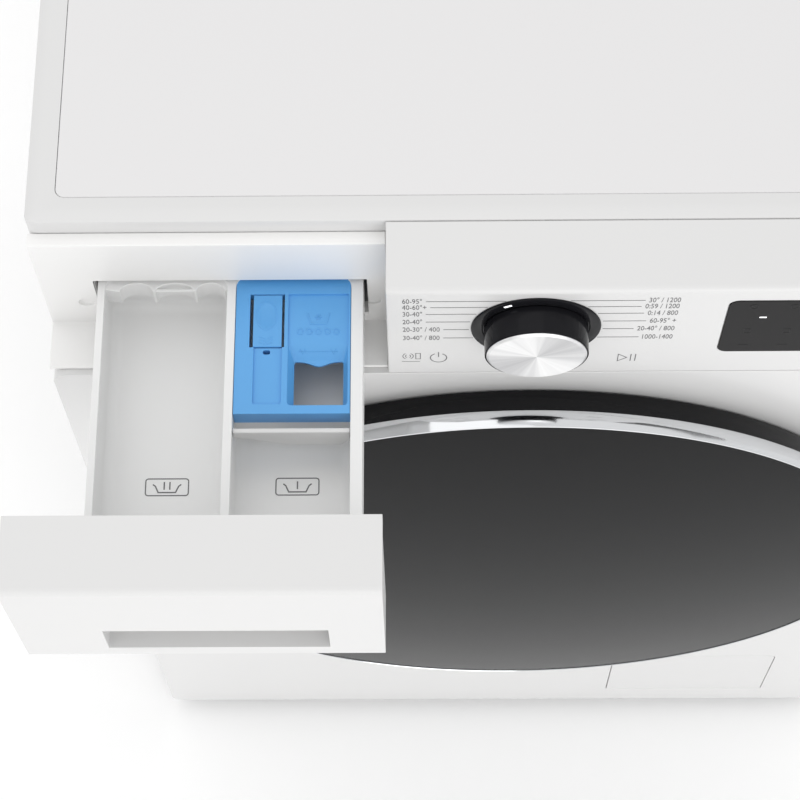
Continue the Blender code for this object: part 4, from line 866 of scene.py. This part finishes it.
ink = bmesh.new()
bezel_low, bezel_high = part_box("dial_bezel")
dial_z = (bezel_low.z + bezel_high.z) / 2
bezel_r = (bezel_high.x - bezel_low.x) / 2
for i, z in enumerate(ROW_Z):
    far_left = add_words(ink, LEFT_MARKS[i], (LEFT_MARK_X, z), "LEFT")[1] + 0.0022
    far_right = add_words(ink, RIGHT_MARKS[i], (RIGHT_MARK_X, z), "RIGHT")[0] - 0.0022
    rise = abs(z - dial_z)
    touch = math.sqrt(bezel_r ** 2 - rise ** 2) + 0.0012
    if far_left < -touch - 0.001:
        stroke(ink, [(far_left, z), (-touch, z)], LINE, on_face, INK_THICK)
    if far_right > touch + 0.001:
        stroke(ink, [(touch, z), (far_right, z)], LINE, on_face, INK_THICK)


def printed(points, width=SIGN_LINE, closed=False):
    """Adds a line of the symbols under the dial."""
    stroke(ink, points, width, on_face, INK_THICK, closed)


printed(arc(POWER_AT, 0.0050, 0.0062, 118, 422, 36))
printed([(POWER_AT[0], POWER_AT[1] + 0.0012), (POWER_AT[0], POWER_AT[1] + 0.0080)])
printed([(0.0520, START_Z[0]), (0.0520, START_Z[1]), (0.0574, sum(START_Z) / 2)], closed=True)
for x in (0.0598, 0.0626):
    printed([(x, START_Z[0]), (x, START_Z[1])])
for reach in (0.0016, 0.0032):
    for start in (-60, 120):
        printed(arc(HAND_AT, reach, reach * 1.3, start, start + 120, 10), FINE_LINE)
printed([(-0.0715, 0.7560), (-0.0687, 0.7560), (-0.0687, 0.7640), (-0.0715, 0.7640)], FINE_LINE, closed=True)
printed([(-0.0800, 0.7524), (-0.0690, 0.7524)], 0.0004)
fit("panel_print", ink, (SCALE_INK,), "cabinet")

# ------------------------------------------------------------------ display
# A black glass-like window let into the fascia. One dash is lit behind it, and the symbols
# that are off are only just seen.
LIT_DASH = (0.1329, 0.8116)
SIGN_ROWS = (0.8255, 0.7930, 0.7740)
SIGN_COLUMNS = 7
FIRST_SIGN_X = 0.1260
SIGN_PITCH = 0.0235

PIANO_BLACK = surfaced("piano_black", (0.008, 0.008, 0.010), (0.011, 0.011, 0.013), 0.11, grain=200, relief=0.01,
                       drift_scale=8, spread=0.03, IOR=1.2)
WINDOW_BLACK = surfaced("window_black", (0.010, 0.0098, 0.0102), (0.013, 0.0125, 0.013), 0.16, grain=200,
                        relief=0.01, drift_scale=8, spread=0.04, IOR=1.16)
UNLIT_INK = surfaced("unlit_ink", (0.024, 0.024, 0.025), (0.028, 0.028, 0.029), 0.3, relief=0.0, IOR=1.16)
LIT_WHITE = bpy.data.materials.new("lit_white")
LIT_WHITE.use_nodes = True
lit_shader = LIT_WHITE.node_tree.nodes["Principled BSDF"]
lit_noise = add_node(LIT_WHITE.node_tree, "ShaderNodeTexNoise", {"Scale": 900.0})
lit_tone = add_node(LIT_WHITE.node_tree, "ShaderNodeMix", {
    "Factor": lit_noise.outputs["Fac"], "A": (1.0, 1.0, 1.0, 1), "B": (0.86, 0.88, 0.95, 1),
}, data_type="RGBA")
LIT_WHITE.node_tree.links.new(lit_tone.outputs["Result"], lit_shader.inputs["Emission Color"])
lit_shader.inputs["Emission Strength"].default_value = 1.0
lit_shader.inputs["Base Color"].default_value = (0.8, 0.8, 0.8, 1)

window_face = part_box("display_window")[0].y
dressed("display_glass", "display_window", WINDOW_BLACK, "cabinet", 0.0003, rounds=2)


def on_window(a, b, h):
    """A point of the window's face; h stands out of it."""
    return (a, window_face - INK_LIFT - h, b)


signs = bmesh.new()
for row, z in enumerate(SIGN_ROWS):
    for column in range(SIGN_COLUMNS):
        x = FIRST_SIGN_X + SIGN_PITCH * column
        if row == 0:
            stroke(signs, arc((x, z), 0.0022, 0.0026, 0, 350, 16), 0.0004, on_window, INK_THICK)
        elif row == 1:
            square = [(x - 0.002, z - 0.0025), (x + 0.002, z - 0.0025), (x + 0.002, z + 0.0025), (x - 0.002, z + 0.0025)]
            stroke(signs, square, 0.0004, on_window, INK_THICK, closed=True)
        else:
            stroke(signs, [(x - 0.003, z), (x + 0.003, z)], 0.0005, on_window, INK_THICK)
fit("display_signs", signs, (UNLIT_INK,), "cabinet")
dash = bmesh.new()
stroke(dash, [(LIT_DASH[0] - 0.0021, LIT_DASH[1]), (LIT_DASH[0] + 0.0021, LIT_DASH[1])], 0.0013, on_window,
       INK_THICK * 2)
fit("display_dash", dash, (LIT_WHITE,), "cabinet")

# ------------------------------------------------------------------ programme dial
# A black moulded knob in a black ring, with a cap of spun aluminium let into its end: the
# cutter's fine circles spread every light into two fans. The fans and some streaks are also painted
# into the cap's colour, as a painted reflection. A lamp in the ring marks the choice.
skirt_low, skirt_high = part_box("dial_skirt")
cap_low, cap_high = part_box("dial_cap")
dial_r = (skirt_high.x - skirt_low.x) / 2
spindle_r = 0.0077
CUTTER_LINES = 4200.0
# Turn, in degrees, of the painted reflection fans in the cap's colour.
PAINTED_FAN_TURN = 110

ring = bmesh.new()
y = face - 0.0003
sleeve = bezel_r - 0.0033
lathe(ring, [
    (0.008, y - 0.0006), (dial_r + 0.0006, y - 0.0006), (dial_r + 0.0010, y - 0.0010),
    (dial_r + 0.0014, y - 0.0012), (bezel_r - 0.0010, y - 0.0012), (bezel_r - 0.0004, y - 0.0010),
    (bezel_r - 0.0001, y - 0.0006), (bezel_r, y),
    (sleeve, y), (sleeve, y + 0.012), (sleeve - 0.002, y + 0.012),
    (sleeve - 0.002, y + 0.0015), (0.010, y + 0.0015), (0.010, y + 0.010), (0.008, y + 0.010),
], "Y", (0, dial_z), 160)
fit("dial_ring", ring, (PIANO_BLACK,), "cabinet", ("dial_bezel",), smooth=30)

lamp = bmesh.new()
lamp_turn = math.radians(120)
lamp_points = [((bezel_r - 0.0034) * math.cos(lamp_turn + math.radians(t)),
                dial_z + (bezel_r - 0.0034) * math.sin(lamp_turn + math.radians(t))) for t in range(-4, 5, 1)]
stroke(lamp, lamp_points, 0.0016, lambda a, b, h: (a, y - 0.0012 - h, b), 0.00015)
fit("dial_lamp", lamp, (LIT_WHITE,), "cabinet")

knob = bmesh.new()
end = skirt_low.y
base = face - 0.0016
seat_r = (cap_high.x - cap_low.x) / 2 + 0.0003
lathe(knob, [
    (0, cap_high.y + 0.0003), (seat_r, cap_high.y + 0.0003), (seat_r, end + 0.0001), (dial_r - 0.0008, end),
    (dial_r - 0.0003, end + 0.0005), (dial_r - 0.0002, end + 0.0014), (dial_r, base), (spindle_r, base),
    (spindle_r, face + 0.014), (0, face + 0.014),
], "Y", (0, dial_z), 160)
fit("dial_knob", knob, (PIANO_BLACK,), "dial", ("dial_skirt",), smooth=30)

SPUN_PAINTED_FANS = bpy.data.materials.new("spun_aluminium_painted_fans")
SPUN_PAINTED_FANS.use_nodes = True
spun_tree = SPUN_PAINTED_FANS.node_tree
spun = spun_tree.nodes["Principled BSDF"]
spun.inputs["Metallic"].default_value = 1.0
spun.inputs["Anisotropic"].default_value = 0.75
here = spun_tree.nodes.new("ShaderNodeTexCoord").outputs["Object"]
from_centre = add_node(spun_tree, "ShaderNodeVectorMath", {0: here, 1: (0, 0, dial_z)}, operation="SUBTRACT")
flat = add_node(spun_tree, "ShaderNodeVectorMath", {0: from_centre.outputs[0], 1: (1, 0, 1)}, operation="MULTIPLY")
around = add_node(spun_tree, "ShaderNodeVectorMath", {0: flat.outputs[0], 1: (0, 1, 0)}, operation="CROSS_PRODUCT")
spun_tree.links.new(around.outputs[0], spun.inputs["Tangent"])
distance = add_node(spun_tree, "ShaderNodeVectorMath", {0: flat.outputs[0]}, operation="LENGTH")
circles = add_node(spun_tree, "ShaderNodeTexNoise", {
    "W": maths(spun_tree, "MULTIPLY", distance.outputs["Value"], CUTTER_LINES), "Scale": 1.0, "Detail": 1.0,
}, noise_dimensions="1D").outputs["Fac"]
# Painted reflection: the cap's base colour runs from grey to near white in two opposite fans and random streaks
# round its centre. This stands in for the spun metal's highlights.
spokes = add_node(spun_tree, "ShaderNodeSeparateXYZ", {0: flat.outputs[0]})
bearing = maths(spun_tree, "ARCTAN2", spokes.outputs["Z"], spokes.outputs["X"])
painted_fans = maths(spun_tree, "COSINE", maths(spun_tree, "MULTIPLY_ADD", bearing, 2.0, math.radians(PAINTED_FAN_TURN)))
painted_streak = add_node(spun_tree, "ShaderNodeTexNoise", {"W": bearing, "Scale": 2.6, "Detail": 2.0},
                  noise_dimensions="1D")
share = maths(spun_tree, "MULTIPLY_ADD", painted_fans, 0.40, painted_streak.outputs["Fac"], use_clamp=True)
tone = add_node(spun_tree, "ShaderNodeMix", {"Factor": share, "A": (0.56, 0.56, 0.57, 1),
                                             "B": (0.99, 0.99, 0.99, 1)}, data_type="RGBA")
bump = add_node(spun_tree, "ShaderNodeBump", {"Height": circles, "Strength": 0.12, "Distance": 0.00005})
spun_tree.links.new(maths(spun_tree, "MULTIPLY_ADD", circles, 0.08, 0.26), spun.inputs["Roughness"])
spun_tree.links.new(tone.outputs["Result"], spun.inputs["Base Color"])
spun_tree.links.new(bump.outputs["Normal"], spun.inputs["Normal"])

BRIGHT_CUT = surfaced("bright_cut", (0.90, 0.90, 0.90), (0.84, 0.84, 0.85), 0.10, grain=600, relief=0.02,
                      drift_scale=30, spread=0.04, Metallic=1.0)
cap = bmesh.new()
cap_r = (cap_high.x - cap_low.x) / 2
lathe(cap, [(0, cap_low.y), (cap_r - 0.0016, cap_low.y)], "Y", (0, dial_z), 160, 0, closed=False)
lathe(cap, [(cap_r - 0.0016, cap_low.y), (cap_r - 0.0002, cap_low.y + 0.0010), (cap_r, cap_low.y + 0.0014),
            (cap_r, cap_high.y), (0, cap_high.y)], "Y", (0, dial_z), 160, 1, closed=False)
bmesh.ops.remove_doubles(cap, verts=cap.verts, dist=1e-6)
bmesh.ops.recalc_face_normals(cap, faces=cap.faces)
fit("dial_cap_disc", cap, (SPUN_PAINTED_FANS, BRIGHT_CUT), "dial", ("dial_cap",), smooth=25)

# ------------------------------------------------------------------ detergent drawer
# The drawer's front is a white moulding with a long finger pocket. Behind it runs the tray,
# with a deep powder side and, on the right, a softener cup under a blue siphon cap.
dressed("drawer_face", "drawer_front", WHITE_MOULDED, "drawer", 0.0013, rounds=4)

# Painted light: the tray's white is set lighter than the other white mouldings, to offset the shade inside its
# compartments.
TRAY_PAINTED_LIGHT = surfaced("tray_moulded_painted_light", (0.82, 0.82, 0.815), (0.805, 0.806, 0.802), 0.38, grain=1300, relief=0.06)
tray_low, tray_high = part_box("drawer_tray")
cup_low, cup_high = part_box("siphon_cap")
MARK_X = (-0.1429, -0.2213)
MARK_Y = (-0.3037, -0.2929)
MARK_HALF = 0.0129
ALCOVE_X = (-0.2515, -0.2300, -0.2050, -0.1863)
tray_wall = 0.0045
right_wall = 0.0072
partition = 0.0054
left_end = cup_low.x - 0.0003 - partition
back_wall = tray_high.y - 0.006
front_wall = tray_low.y + 0.005


def eased(form, width, rounds, chosen):
    """Rounds the edges for which chosen(edge) is true."""
    edges = [e for e in form.edges if chosen(e)]
    bmesh.ops.bevel(form, geom=edges, offset=width, segments=rounds, profile=0.5, affect="EDGES")
    return form


def hollow(x, y, bottom, radius):
    """Room of a compartment, with rounded corners and a rounded floor."""
    form = block(x, y, (bottom, tray_high.z + 0.01))
    return eased(form, radius, 6, lambda e: min(v.co.z for v in e.verts) < bottom + 0.001)


tray = block((tray_low.x, tray_high.x), (tray_low.y, tray_high.y), (tray_low.z, tray_high.z))
eased(tray, 0.006, 5, lambda e: max(v.co.z for v in e.verts) < tray_low.z + 0.001)
powder = hollow((tray_low.x + tray_wall, left_end), (front_wall, back_wall), tray_low.z + 0.003, 0.008)
liquid = hollow((cup_low.x - 0.0003, tray_high.x - right_wall), (front_wall, back_wall), tray_low.z + 0.003, 0.008)
tray = carve(tray, powder, liquid)

baffle = bmesh.new()
front_line = back_wall - 0.0098
wall_x = tray_low.x + tray_wall - 0.001
outline = [(wall_x, back_wall + 0.001), (wall_x, front_line + 0.0016)]
for start, stop in zip(ALCOVE_X, ALCOVE_X[1:]):
    middle = (start + stop) / 2
    half = (stop - start) / 2 - 0.0008
    outline += [(middle - half * math.cos(math.radians(t)), front_line + 0.0056 * math.sin(math.radians(t)))
                for t in range(0, 181, 15)]
outline += [(left_end + 0.001, front_line + 0.0010), (left_end + 0.001, back_wall + 0.001)]
extrude(baffle, outline, "Z", tray_high.z - 0.0165, tray_high.z - 0.0012)
bar = block(ALCOVE_X[1:3], (front_line + 0.0006, front_line + 0.0022), (tray_high.z - 0.0040, tray_high.z - 0.0022))
cup_wall = block((cup_low.x - 0.001, cup_high.x + 0.001), (cup_low.y + 0.0004, cup_low.y + 0.0024),
      (tray_low.z + 0.002, cup_high.z - 0.0134))
tray = carve(tray, baffle, bar, cup_wall, operation="UNION")
fit("tray_moulding", tray, (TRAY_PAINTED_LIGHT,), "drawer", ("drawer_tray",), edge=0.0007)

TRAY_INK = surfaced("tray_ink", (0.12, 0.12, 0.125), (0.16, 0.16, 0.165), 0.5, relief=0.0)
tray_floor = tray_low.z + 0.003
marks = bmesh.new()


def on_floor(a, b, h):
    """A point of the tray's floor; h stands up from it."""
    return (a, b, tray_floor + INK_LIFT + h)


for number, x in ((2, MARK_X[1]), (1, MARK_X[0])):
    outline = corners((x - MARK_HALF, MARK_Y[0]), (x + MARK_HALF, MARK_Y[1]), 0.0016, 3)
    stroke(marks, outline, 0.0007, on_floor, INK_THICK, closed=True)
    y = sum(MARK_Y) / 2
    tub_sign = [(x - 0.0085, y + 0.0018), (x - 0.0070, y + 0.0006), (x - 0.0052, y - 0.0034),
                (x + 0.0052, y - 0.0034), (x + 0.0070, y + 0.0006), (x + 0.0085, y + 0.0018)]
    stroke(marks, tub_sign, 0.0008, on_floor, INK_THICK)
    for i in range(number):
        at = x + (i - (number - 1) / 2) * 0.0034
        stroke(marks, [(at, y - 0.0016), (at, y + 0.0034)], 0.0008, on_floor, INK_THICK)
fit("tray_marks", marks, (TRAY_INK,), "drawer")

# The liquid divider is a thin white flap with a wavy lower edge that drops into the right
# compartment ahead of the cup.
low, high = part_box("liquid_divider")
wave = [(high.x, high.z), (low.x, high.z)]
for i in range(17):
    share = i / 16
    drop = 0.0085 + 0.0105 * (0.5 - 0.5 * math.cos(math.pi * min(1, share / 0.55)))
    if share > 0.9:
        drop -= 0.0095 * ((share - 0.9) / 0.1) ** 2
    wave.append((low.x + (high.x - low.x) * share, high.z - drop))
flap = bmesh.new()
extrude(flap, wave, "Y", low.y, high.y)
fit("liquid_flap", flap, (WHITE_MOULDED,), "drawer", ("liquid_divider",), edge=0.0006)

# ------------------------------------------------------------------ siphon cap and release tab
# Both are moulded in sky blue. The cap has a well with a rounded pour opening, a plate with a
# raised softener sign, and a channel for the springy tab that lets the drawer out.
SKY_BLUE = surfaced("sky_blue", (0.105, 0.375, 0.76), (0.12, 0.395, 0.77), 0.34, grain=1100, relief=0.06,
                    Specular_IOR_Level=0.45)
SIGN_RELIEF = 0.0004
SIGN_X = -0.1299
SNOW_Y = -0.2026
DROP_Y = -0.2122
PAST = 0.01
SLOT_END = 0.012
PLATE_X = (-0.1481, -0.1118)
PLATE_FRONT = -0.2220
WELL_FRONT = -0.2612
WELL_BACK = -0.2208
WELL_ROUND = 0.0022
THUMB_AT = (-0.1612, -0.2018)
x0, x1 = cup_low.x, cup_high.x
y0, y1 = cup_low.y, cup_high.y
top = cup_high.z
tab_low, tab_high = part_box("release_tab")

cap = block((x0, x1), (y0, y1), (cup_low.z, top))
cutters = []
under = block((x0 + 0.002, x1 - 0.002), (y0 + 0.002, y1 - 0.002), (cup_low.z - PAST, top - 0.0075))
cutters.append(under)
gap = block((tab_low.x - 0.0021, tab_high.x + 0.0016), (tab_low.y - 0.0005, y1 - SLOT_END),
      (cup_low.z - PAST, top + PAST))
cutters.append(gap)
channel = block((tab_low.x + 0.0006, tab_high.x + 0.0004), (y0 + 0.0062, tab_low.y + 0.001),
      (top - 0.0016, top + PAST))
cutters.append(eased(channel, 0.0012, 2, lambda e: abs(e.verts[0].co.z - e.verts[1].co.z) > 0.005))
slit = bmesh.new()
extrude(slit, corners((-0.1630, -0.2272), (-0.1586, -0.2244), 0.0011, 4), "Z", cup_low.z - PAST, top + PAST)
cutters.append(slit)
plate = block(PLATE_X, (PLATE_FRONT, y1 - SLOT_END), (top - 0.0014, top + PAST))
cutters.append(plate)
rim = corners((-0.1479, WELL_FRONT), (-0.1120, WELL_BACK), WELL_ROUND, 4)
floor_rim = corners((-0.1443, WELL_FRONT), (-0.1148, -0.2297), WELL_ROUND, 4)
cutters.append(bridged([[(a, b, z) for a, b in shape] for shape, z in (
    (rim, top + PAST), (rim, top - 0.0010), (floor_rim, top - 0.0062), (floor_rim, cup_low.z - PAST))]))
cap = carve(cap, *cutters)
tongue = bmesh.new()
lip = [(-0.1295 + 0.0146 * t / 10, -0.2302 - 0.0030 * math.exp(-(t / 4.2) ** 2)) for t in range(-10, 11)]
extrude(tongue, lip + [(-0.1149, -0.2285), (-0.1441, -0.2285)], "Z", top - 0.0074, top - 0.0060)
cap = carve(cap, tongue, operation="UNION")
fit("siphon_cover", cap, (SKY_BLUE,), "drawer", ("siphon_cap",), edge=0.00035, rounds=2)

signs = bmesh.new()


def on_plate(a, b, h):
    """A point of the cap's plate; h stands up from it."""
    return (a, b, top - 0.00145 + h)


stroke(signs, [(SIGN_X - 0.0066, -0.2000), (SIGN_X - 0.0046, -0.2072), (SIGN_X + 0.0046, -0.2072),
               (SIGN_X + 0.0066, -0.2000)], 0.0009, on_plate, SIGN_RELIEF)
for i in range(6):
    turn = math.radians(60 * i)
    tip = (SIGN_X + 0.0022 * math.cos(turn), SNOW_Y + 0.0022 * math.sin(turn))
    stroke(signs, [(SIGN_X, SNOW_Y), tip], 0.0006, on_plate, SIGN_RELIEF)
for i in range(5):
    drop_x = SIGN_X + 0.0054 * (i - 2)
    stroke(signs, arc((drop_x, DROP_Y), 0.0017, 0.0019, 0, 345, 14), 0.0007, on_plate, SIGN_RELIEF)
slope = math.atan2(0.0052, 0.0089)


def on_ledge(a, b, h):
    """A point of the slope behind the well; h stands up from it."""
    return (a, b, top - 0.0010 - (WELL_BACK - b) * math.tan(slope) + h)


stroke(signs, [(SIGN_X - 0.0118, -0.2246), (SIGN_X + 0.0118, -0.2246)], 0.0006, on_ledge, SIGN_RELIEF / 2)
for x in (-0.0092, 0.0092):
    stroke(signs, [(SIGN_X + x - 0.0016, -0.2232), (SIGN_X + x, -0.2258), (SIGN_X + x + 0.0016, -0.2232)], 0.0006,
           on_ledge, SIGN_RELIEF / 2)
fit("siphon_signs", signs, (SKY_BLUE,), "drawer", edge=0.0001, rounds=1)

tab = block((tab_low.x, tab_high.x), (tab_low.y, tab_high.y), (tab_low.z, tab_high.z))
thumb = bmesh.new()
bmesh.ops.create_uvsphere(thumb, u_segments=40, v_segments=20, radius=1)
bmesh.ops.transform(thumb, verts=thumb.verts, matrix=Matrix.Translation((*THUMB_AT, tab_high.z + 0.0007))
                    @ Matrix.Diagonal((0.0058, 0.0093, 0.0016, 1)))
tab = carve(tab, thumb)
fit("drawer_release", tab, (SKY_BLUE,), "release_tab", ("release_tab",), edge=0.00035, rounds=2)
signs = bmesh.new()


def on_tab(a, b, h):
    """A point of the tab's top; h stands up from it."""
    return (a, b, tab_high.z - 0.0001 + h)


stroke(signs, arc(THUMB_AT, 0.0061, 0.0096, 0, 351, 40), 0.0006, on_tab, 0.0003, closed=True)
for i in range(3):
    y = -0.2157 - 0.0020 * i
    stroke(signs, [(THUMB_AT[0] - 0.0040, y), (THUMB_AT[0], y - 0.0016), (THUMB_AT[0] + 0.0040, y)], 0.0007,
           on_tab, 0.0003)
fit("release_signs", signs, (SKY_BLUE,), "release_tab", edge=0.0001, rounds=1)

# ------------------------------------------------------------------ door
# A dark tinted dome in a bright ring stands on a black tapered frame. Behind it a pressed
# glass bowl reaches into the drum's mouth, clamped by a grey ring that carries the hook.
DOOR_SIDES = 192
BAND_TAPER = 0.0070
DOME_RISE = 0.014
COVER_THICK = 0.004

cover_low, cover_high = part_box("door_cover")
ring_low, ring_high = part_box("door_trim_ring")
bowl_low, bowl_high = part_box("door_bowl")
door_z = (ring_low.z + ring_high.z) / 2
door_r = (ring_high.x - ring_low.x) / 2
glass_r = (cover_high.x - cover_low.x) / 2
edge_y = cover_low.y + DOME_RISE
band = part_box("door_frame")[0].y

TINTED = surfaced("tinted_cover", (0.0045, 0.0045, 0.0050), (0.0055, 0.0055, 0.0060), 0.06, grain=60, relief=0.004,
                  drift_scale=3.0, spread=0.02, Alpha=0.90, IOR=1.17)
BRIGHT_RING = surfaced("bright_ring", (0.70, 0.71, 0.725), (0.66, 0.67, 0.685), 0.09, grain=300, relief=0.01,
                       drift_scale=10, spread=0.03, Metallic=1.0)
BOWL_GLASS = surfaced("bowl_glass", (0.93, 0.96, 0.95), (0.95, 0.97, 0.96), 0.03, grain=40, relief=0.02,
                      drift_scale=6, spread=0.02, Transmission_Weight=1.0, IOR=1.5)

sphere = (glass_r ** 2 + DOME_RISE ** 2) / (2 * DOME_RISE)
outer = []
for i in range(25):
    r = glass_r * i / 24
    outer.append((r, edge_y - (math.sqrt(sphere ** 2 - r ** 2) - (sphere - DOME_RISE))))
inner = [(r, y + COVER_THICK) for r, y in outer]
cover = bmesh.new()
lathe(cover, outer + inner[::-1], "Y", (0, door_z), DOOR_SIDES)
bmesh.ops.remove_doubles(cover, verts=cover.verts, dist=1e-6)
fit("door_dome", cover, (TINTED,), "door", ("door_cover",), smooth=25)

ring = bmesh.new()
seat = glass_r - 0.0025
lathe(ring, [
    (glass_r + 0.0004, edge_y - 0.0004), (glass_r + 0.0009, edge_y - 0.0009), (glass_r + 0.0015, edge_y - 0.0006),
    (door_r - 0.0002, edge_y + 0.0034), (door_r, edge_y + 0.0050), (door_r, band - 0.0012),
    (door_r - 0.0003, band - 0.0003), (seat, band - 0.0003), (seat, edge_y + COVER_THICK + 0.0003),
    (glass_r + 0.0003, edge_y + COVER_THICK + 0.0003),
], "Y", (0, door_z), DOOR_SIDES)
fit("door_bright_ring", ring, (BRIGHT_RING,), "door", ("door_trim_ring",), smooth=30)

PIANO_FRAME = surfaced("frame_black", (0.006, 0.006, 0.007), (0.008, 0.008, 0.009), 0.14, grain=200, relief=0.01,
                       drift_scale=8, spread=0.04, Specular_IOR_Level=0.12)
band_back = face - 0.0010
back_r = door_r - BAND_TAPER
hold = (bowl_high.x - bowl_low.x) / 2 + 0.0008
rim = bmesh.new()
lathe(rim, [
    (door_r - 0.0007, band), (door_r - 0.0012, band + 0.0012), (back_r + 0.0004, band_back - 0.0008),
    (back_r - 0.0004, band_back), (back_r - 0.0030, band_back), (back_r + 0.0048, band + 0.0030),
    (hold, band + 0.0030), (hold, band),
], "Y", (0, door_z), DOOR_SIDES)
hinge_low, hinge_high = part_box("door_hinge_arm")
pocket_half = (hinge_high.z - hinge_low.z) / 2 + 0.004


def hinge_room():
    """Room for the hinge in the left of the door's frame and clamp ring."""
    form = block((-door_r - 0.02, -door_r + 0.0122 + 0.031), (band - 0.0008, face + 0.01),
          (door_z - pocket_half, door_z + pocket_half))
    return form


fit("door_rim", carve(rim, hinge_room()), (PIANO_FRAME,), "door", ("door_frame",), smooth=30)

clamp = bmesh.new()
flange = band + 0.0033
inside = (bowl_high.x - bowl_low.x) / 2 - 0.0367
lathe(clamp, [
    (back_r - 0.0073, flange), (back_r - 0.0073, band_back - 0.0036), (back_r - 0.0100, band_back - 0.0022),
    (back_r - 0.0200, band_back), (inside + 0.016, band_back), (inside + 0.012, band_back - 0.0006),
    (inside + 0.0025, band_back - 0.0034), (inside, band_back - 0.0052), (inside, flange),
], "Y", (0, door_z), DOOR_SIDES)
fit("door_clamp_ring", carve(clamp, hinge_room()), (GREY_MOULDED,), "door", ("door_back_ring",),
    smooth=30)

bowl_y = band
mouth = inside - 0.012
flange_r = (bowl_high.x - bowl_low.x) / 2
outside = [(flange_r, bowl_y + 0.0030), (inside - 0.002, bowl_y + 0.0030), (mouth + 0.004, bowl_y + 0.0040),
           (mouth, bowl_y + 0.0075)]
depth = bowl_high.y
for i in range(13):
    turn = math.radians(90 * i / 12)
    outside.append(((0.105 + 0.030 * (1 - i / 12) ** 1.5) * math.cos(turn) if i < 12 else 0,
                    depth - 0.050 + 0.050 * math.sin(turn)))
wall = 0.0042
within = [(flange_r, bowl_y), (inside - 0.004, bowl_y), (mouth - 0.002, bowl_y + 0.0010),
          (mouth - wall, bowl_y + 0.0060)]
within += [(max(r - wall, 0) if r else 0, y - wall) for r, y in outside[4:]]
bowl = bmesh.new()
lathe(bowl, outside + within[::-1], "Y", (0, door_z), 128)
bmesh.ops.remove_doubles(bowl, verts=bowl.verts, dist=1e-6)
fit("door_glass_bowl", bowl, (BOWL_GLASS,), "door", ("door_bowl",), smooth=40)

HARD_STEEL = surfaced("hard_steel", (0.60, 0.60, 0.61), (0.52, 0.52, 0.53), 0.28, grain=700, relief=0.04,
                      drift_scale=40, spread=0.08, Metallic=1.0)
dressed("door_latch_hook", "door_hook", HARD_STEEL, "door", 0.0006)
dressed("door_hinge_leaf", "door_hinge_arm", ZINC, "door", 0.0003, rounds=2)
dressed("door_hinge_ears", "door_hinge_bracket", ZINC, "cabinet", 0.0003, rounds=2)
dressed("door_lock_case", "door_lock", BLACK_MOULDED, "cabinet", 0.0008)

# ------------------------------------------------------------------ worktop
# A chipboard top faced in white laminate, held in a white moulded surround. The surround's
# inner edge falls in a shallow slope to the board.
FLAT_RIM = 0.0105
LEDGE = 0.020
SLOPE_DROP = 0.0006
RIM_ROUND = 0.006
BOARD_ROUND = 0.0057

LAMINATE = surfaced("white_laminate", (0.735, 0.728, 0.73), (0.727, 0.72, 0.722), 0.33, grain=1500, relief=0.06,
                    drift_scale=2.5, spread=0.05)
rim_low, rim_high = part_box("worktop_surround")
board_low, board_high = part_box("worktop_board")
inset = board_low.x - rim_low.x - 0.0003
plan = (
    (0.0, rim_low.z, RIM_ROUND), (0.0, rim_high.z - 0.0018, RIM_ROUND),
    (0.0005, rim_high.z - 0.0006, RIM_ROUND - 0.0005), (0.0018, rim_high.z, RIM_ROUND - 0.0015),
    (FLAT_RIM, rim_high.z, RIM_ROUND), (inset, rim_high.z - SLOPE_DROP, RIM_ROUND),
    (inset, board_low.z - 0.0003, RIM_ROUND), (inset + LEDGE, board_low.z - 0.0003, RIM_ROUND),
    (inset + LEDGE, rim_low.z, RIM_ROUND),
)


def level_ring(low, high, away, radius, z):
    """A level outline with rounded corners, moved inwards from a box's sides."""
    return [(a, b, z) for a, b in corners((low.x + away, low.y + away), (high.x - away, high.y - away), radius, 6)]


surround = bridged([level_ring(rim_low, rim_high, away, radius, z) for away, z, radius in plan], loop=True)
fit("worktop_frame", surround, (WHITE_MOULDED,), "cabinet", ("worktop_surround",), smooth=40)
board = bridged([level_ring(board_low, board_high, away, BOARD_ROUND - away, z) for away, z in (
    (0, board_low.z), (0, rim_high.z - SLOPE_DROP - 0.0004), (0.0004, rim_high.z - SLOPE_DROP))])
fit("worktop_laminate", board, (LAMINATE,), "cabinet", ("worktop_board",), smooth=30)
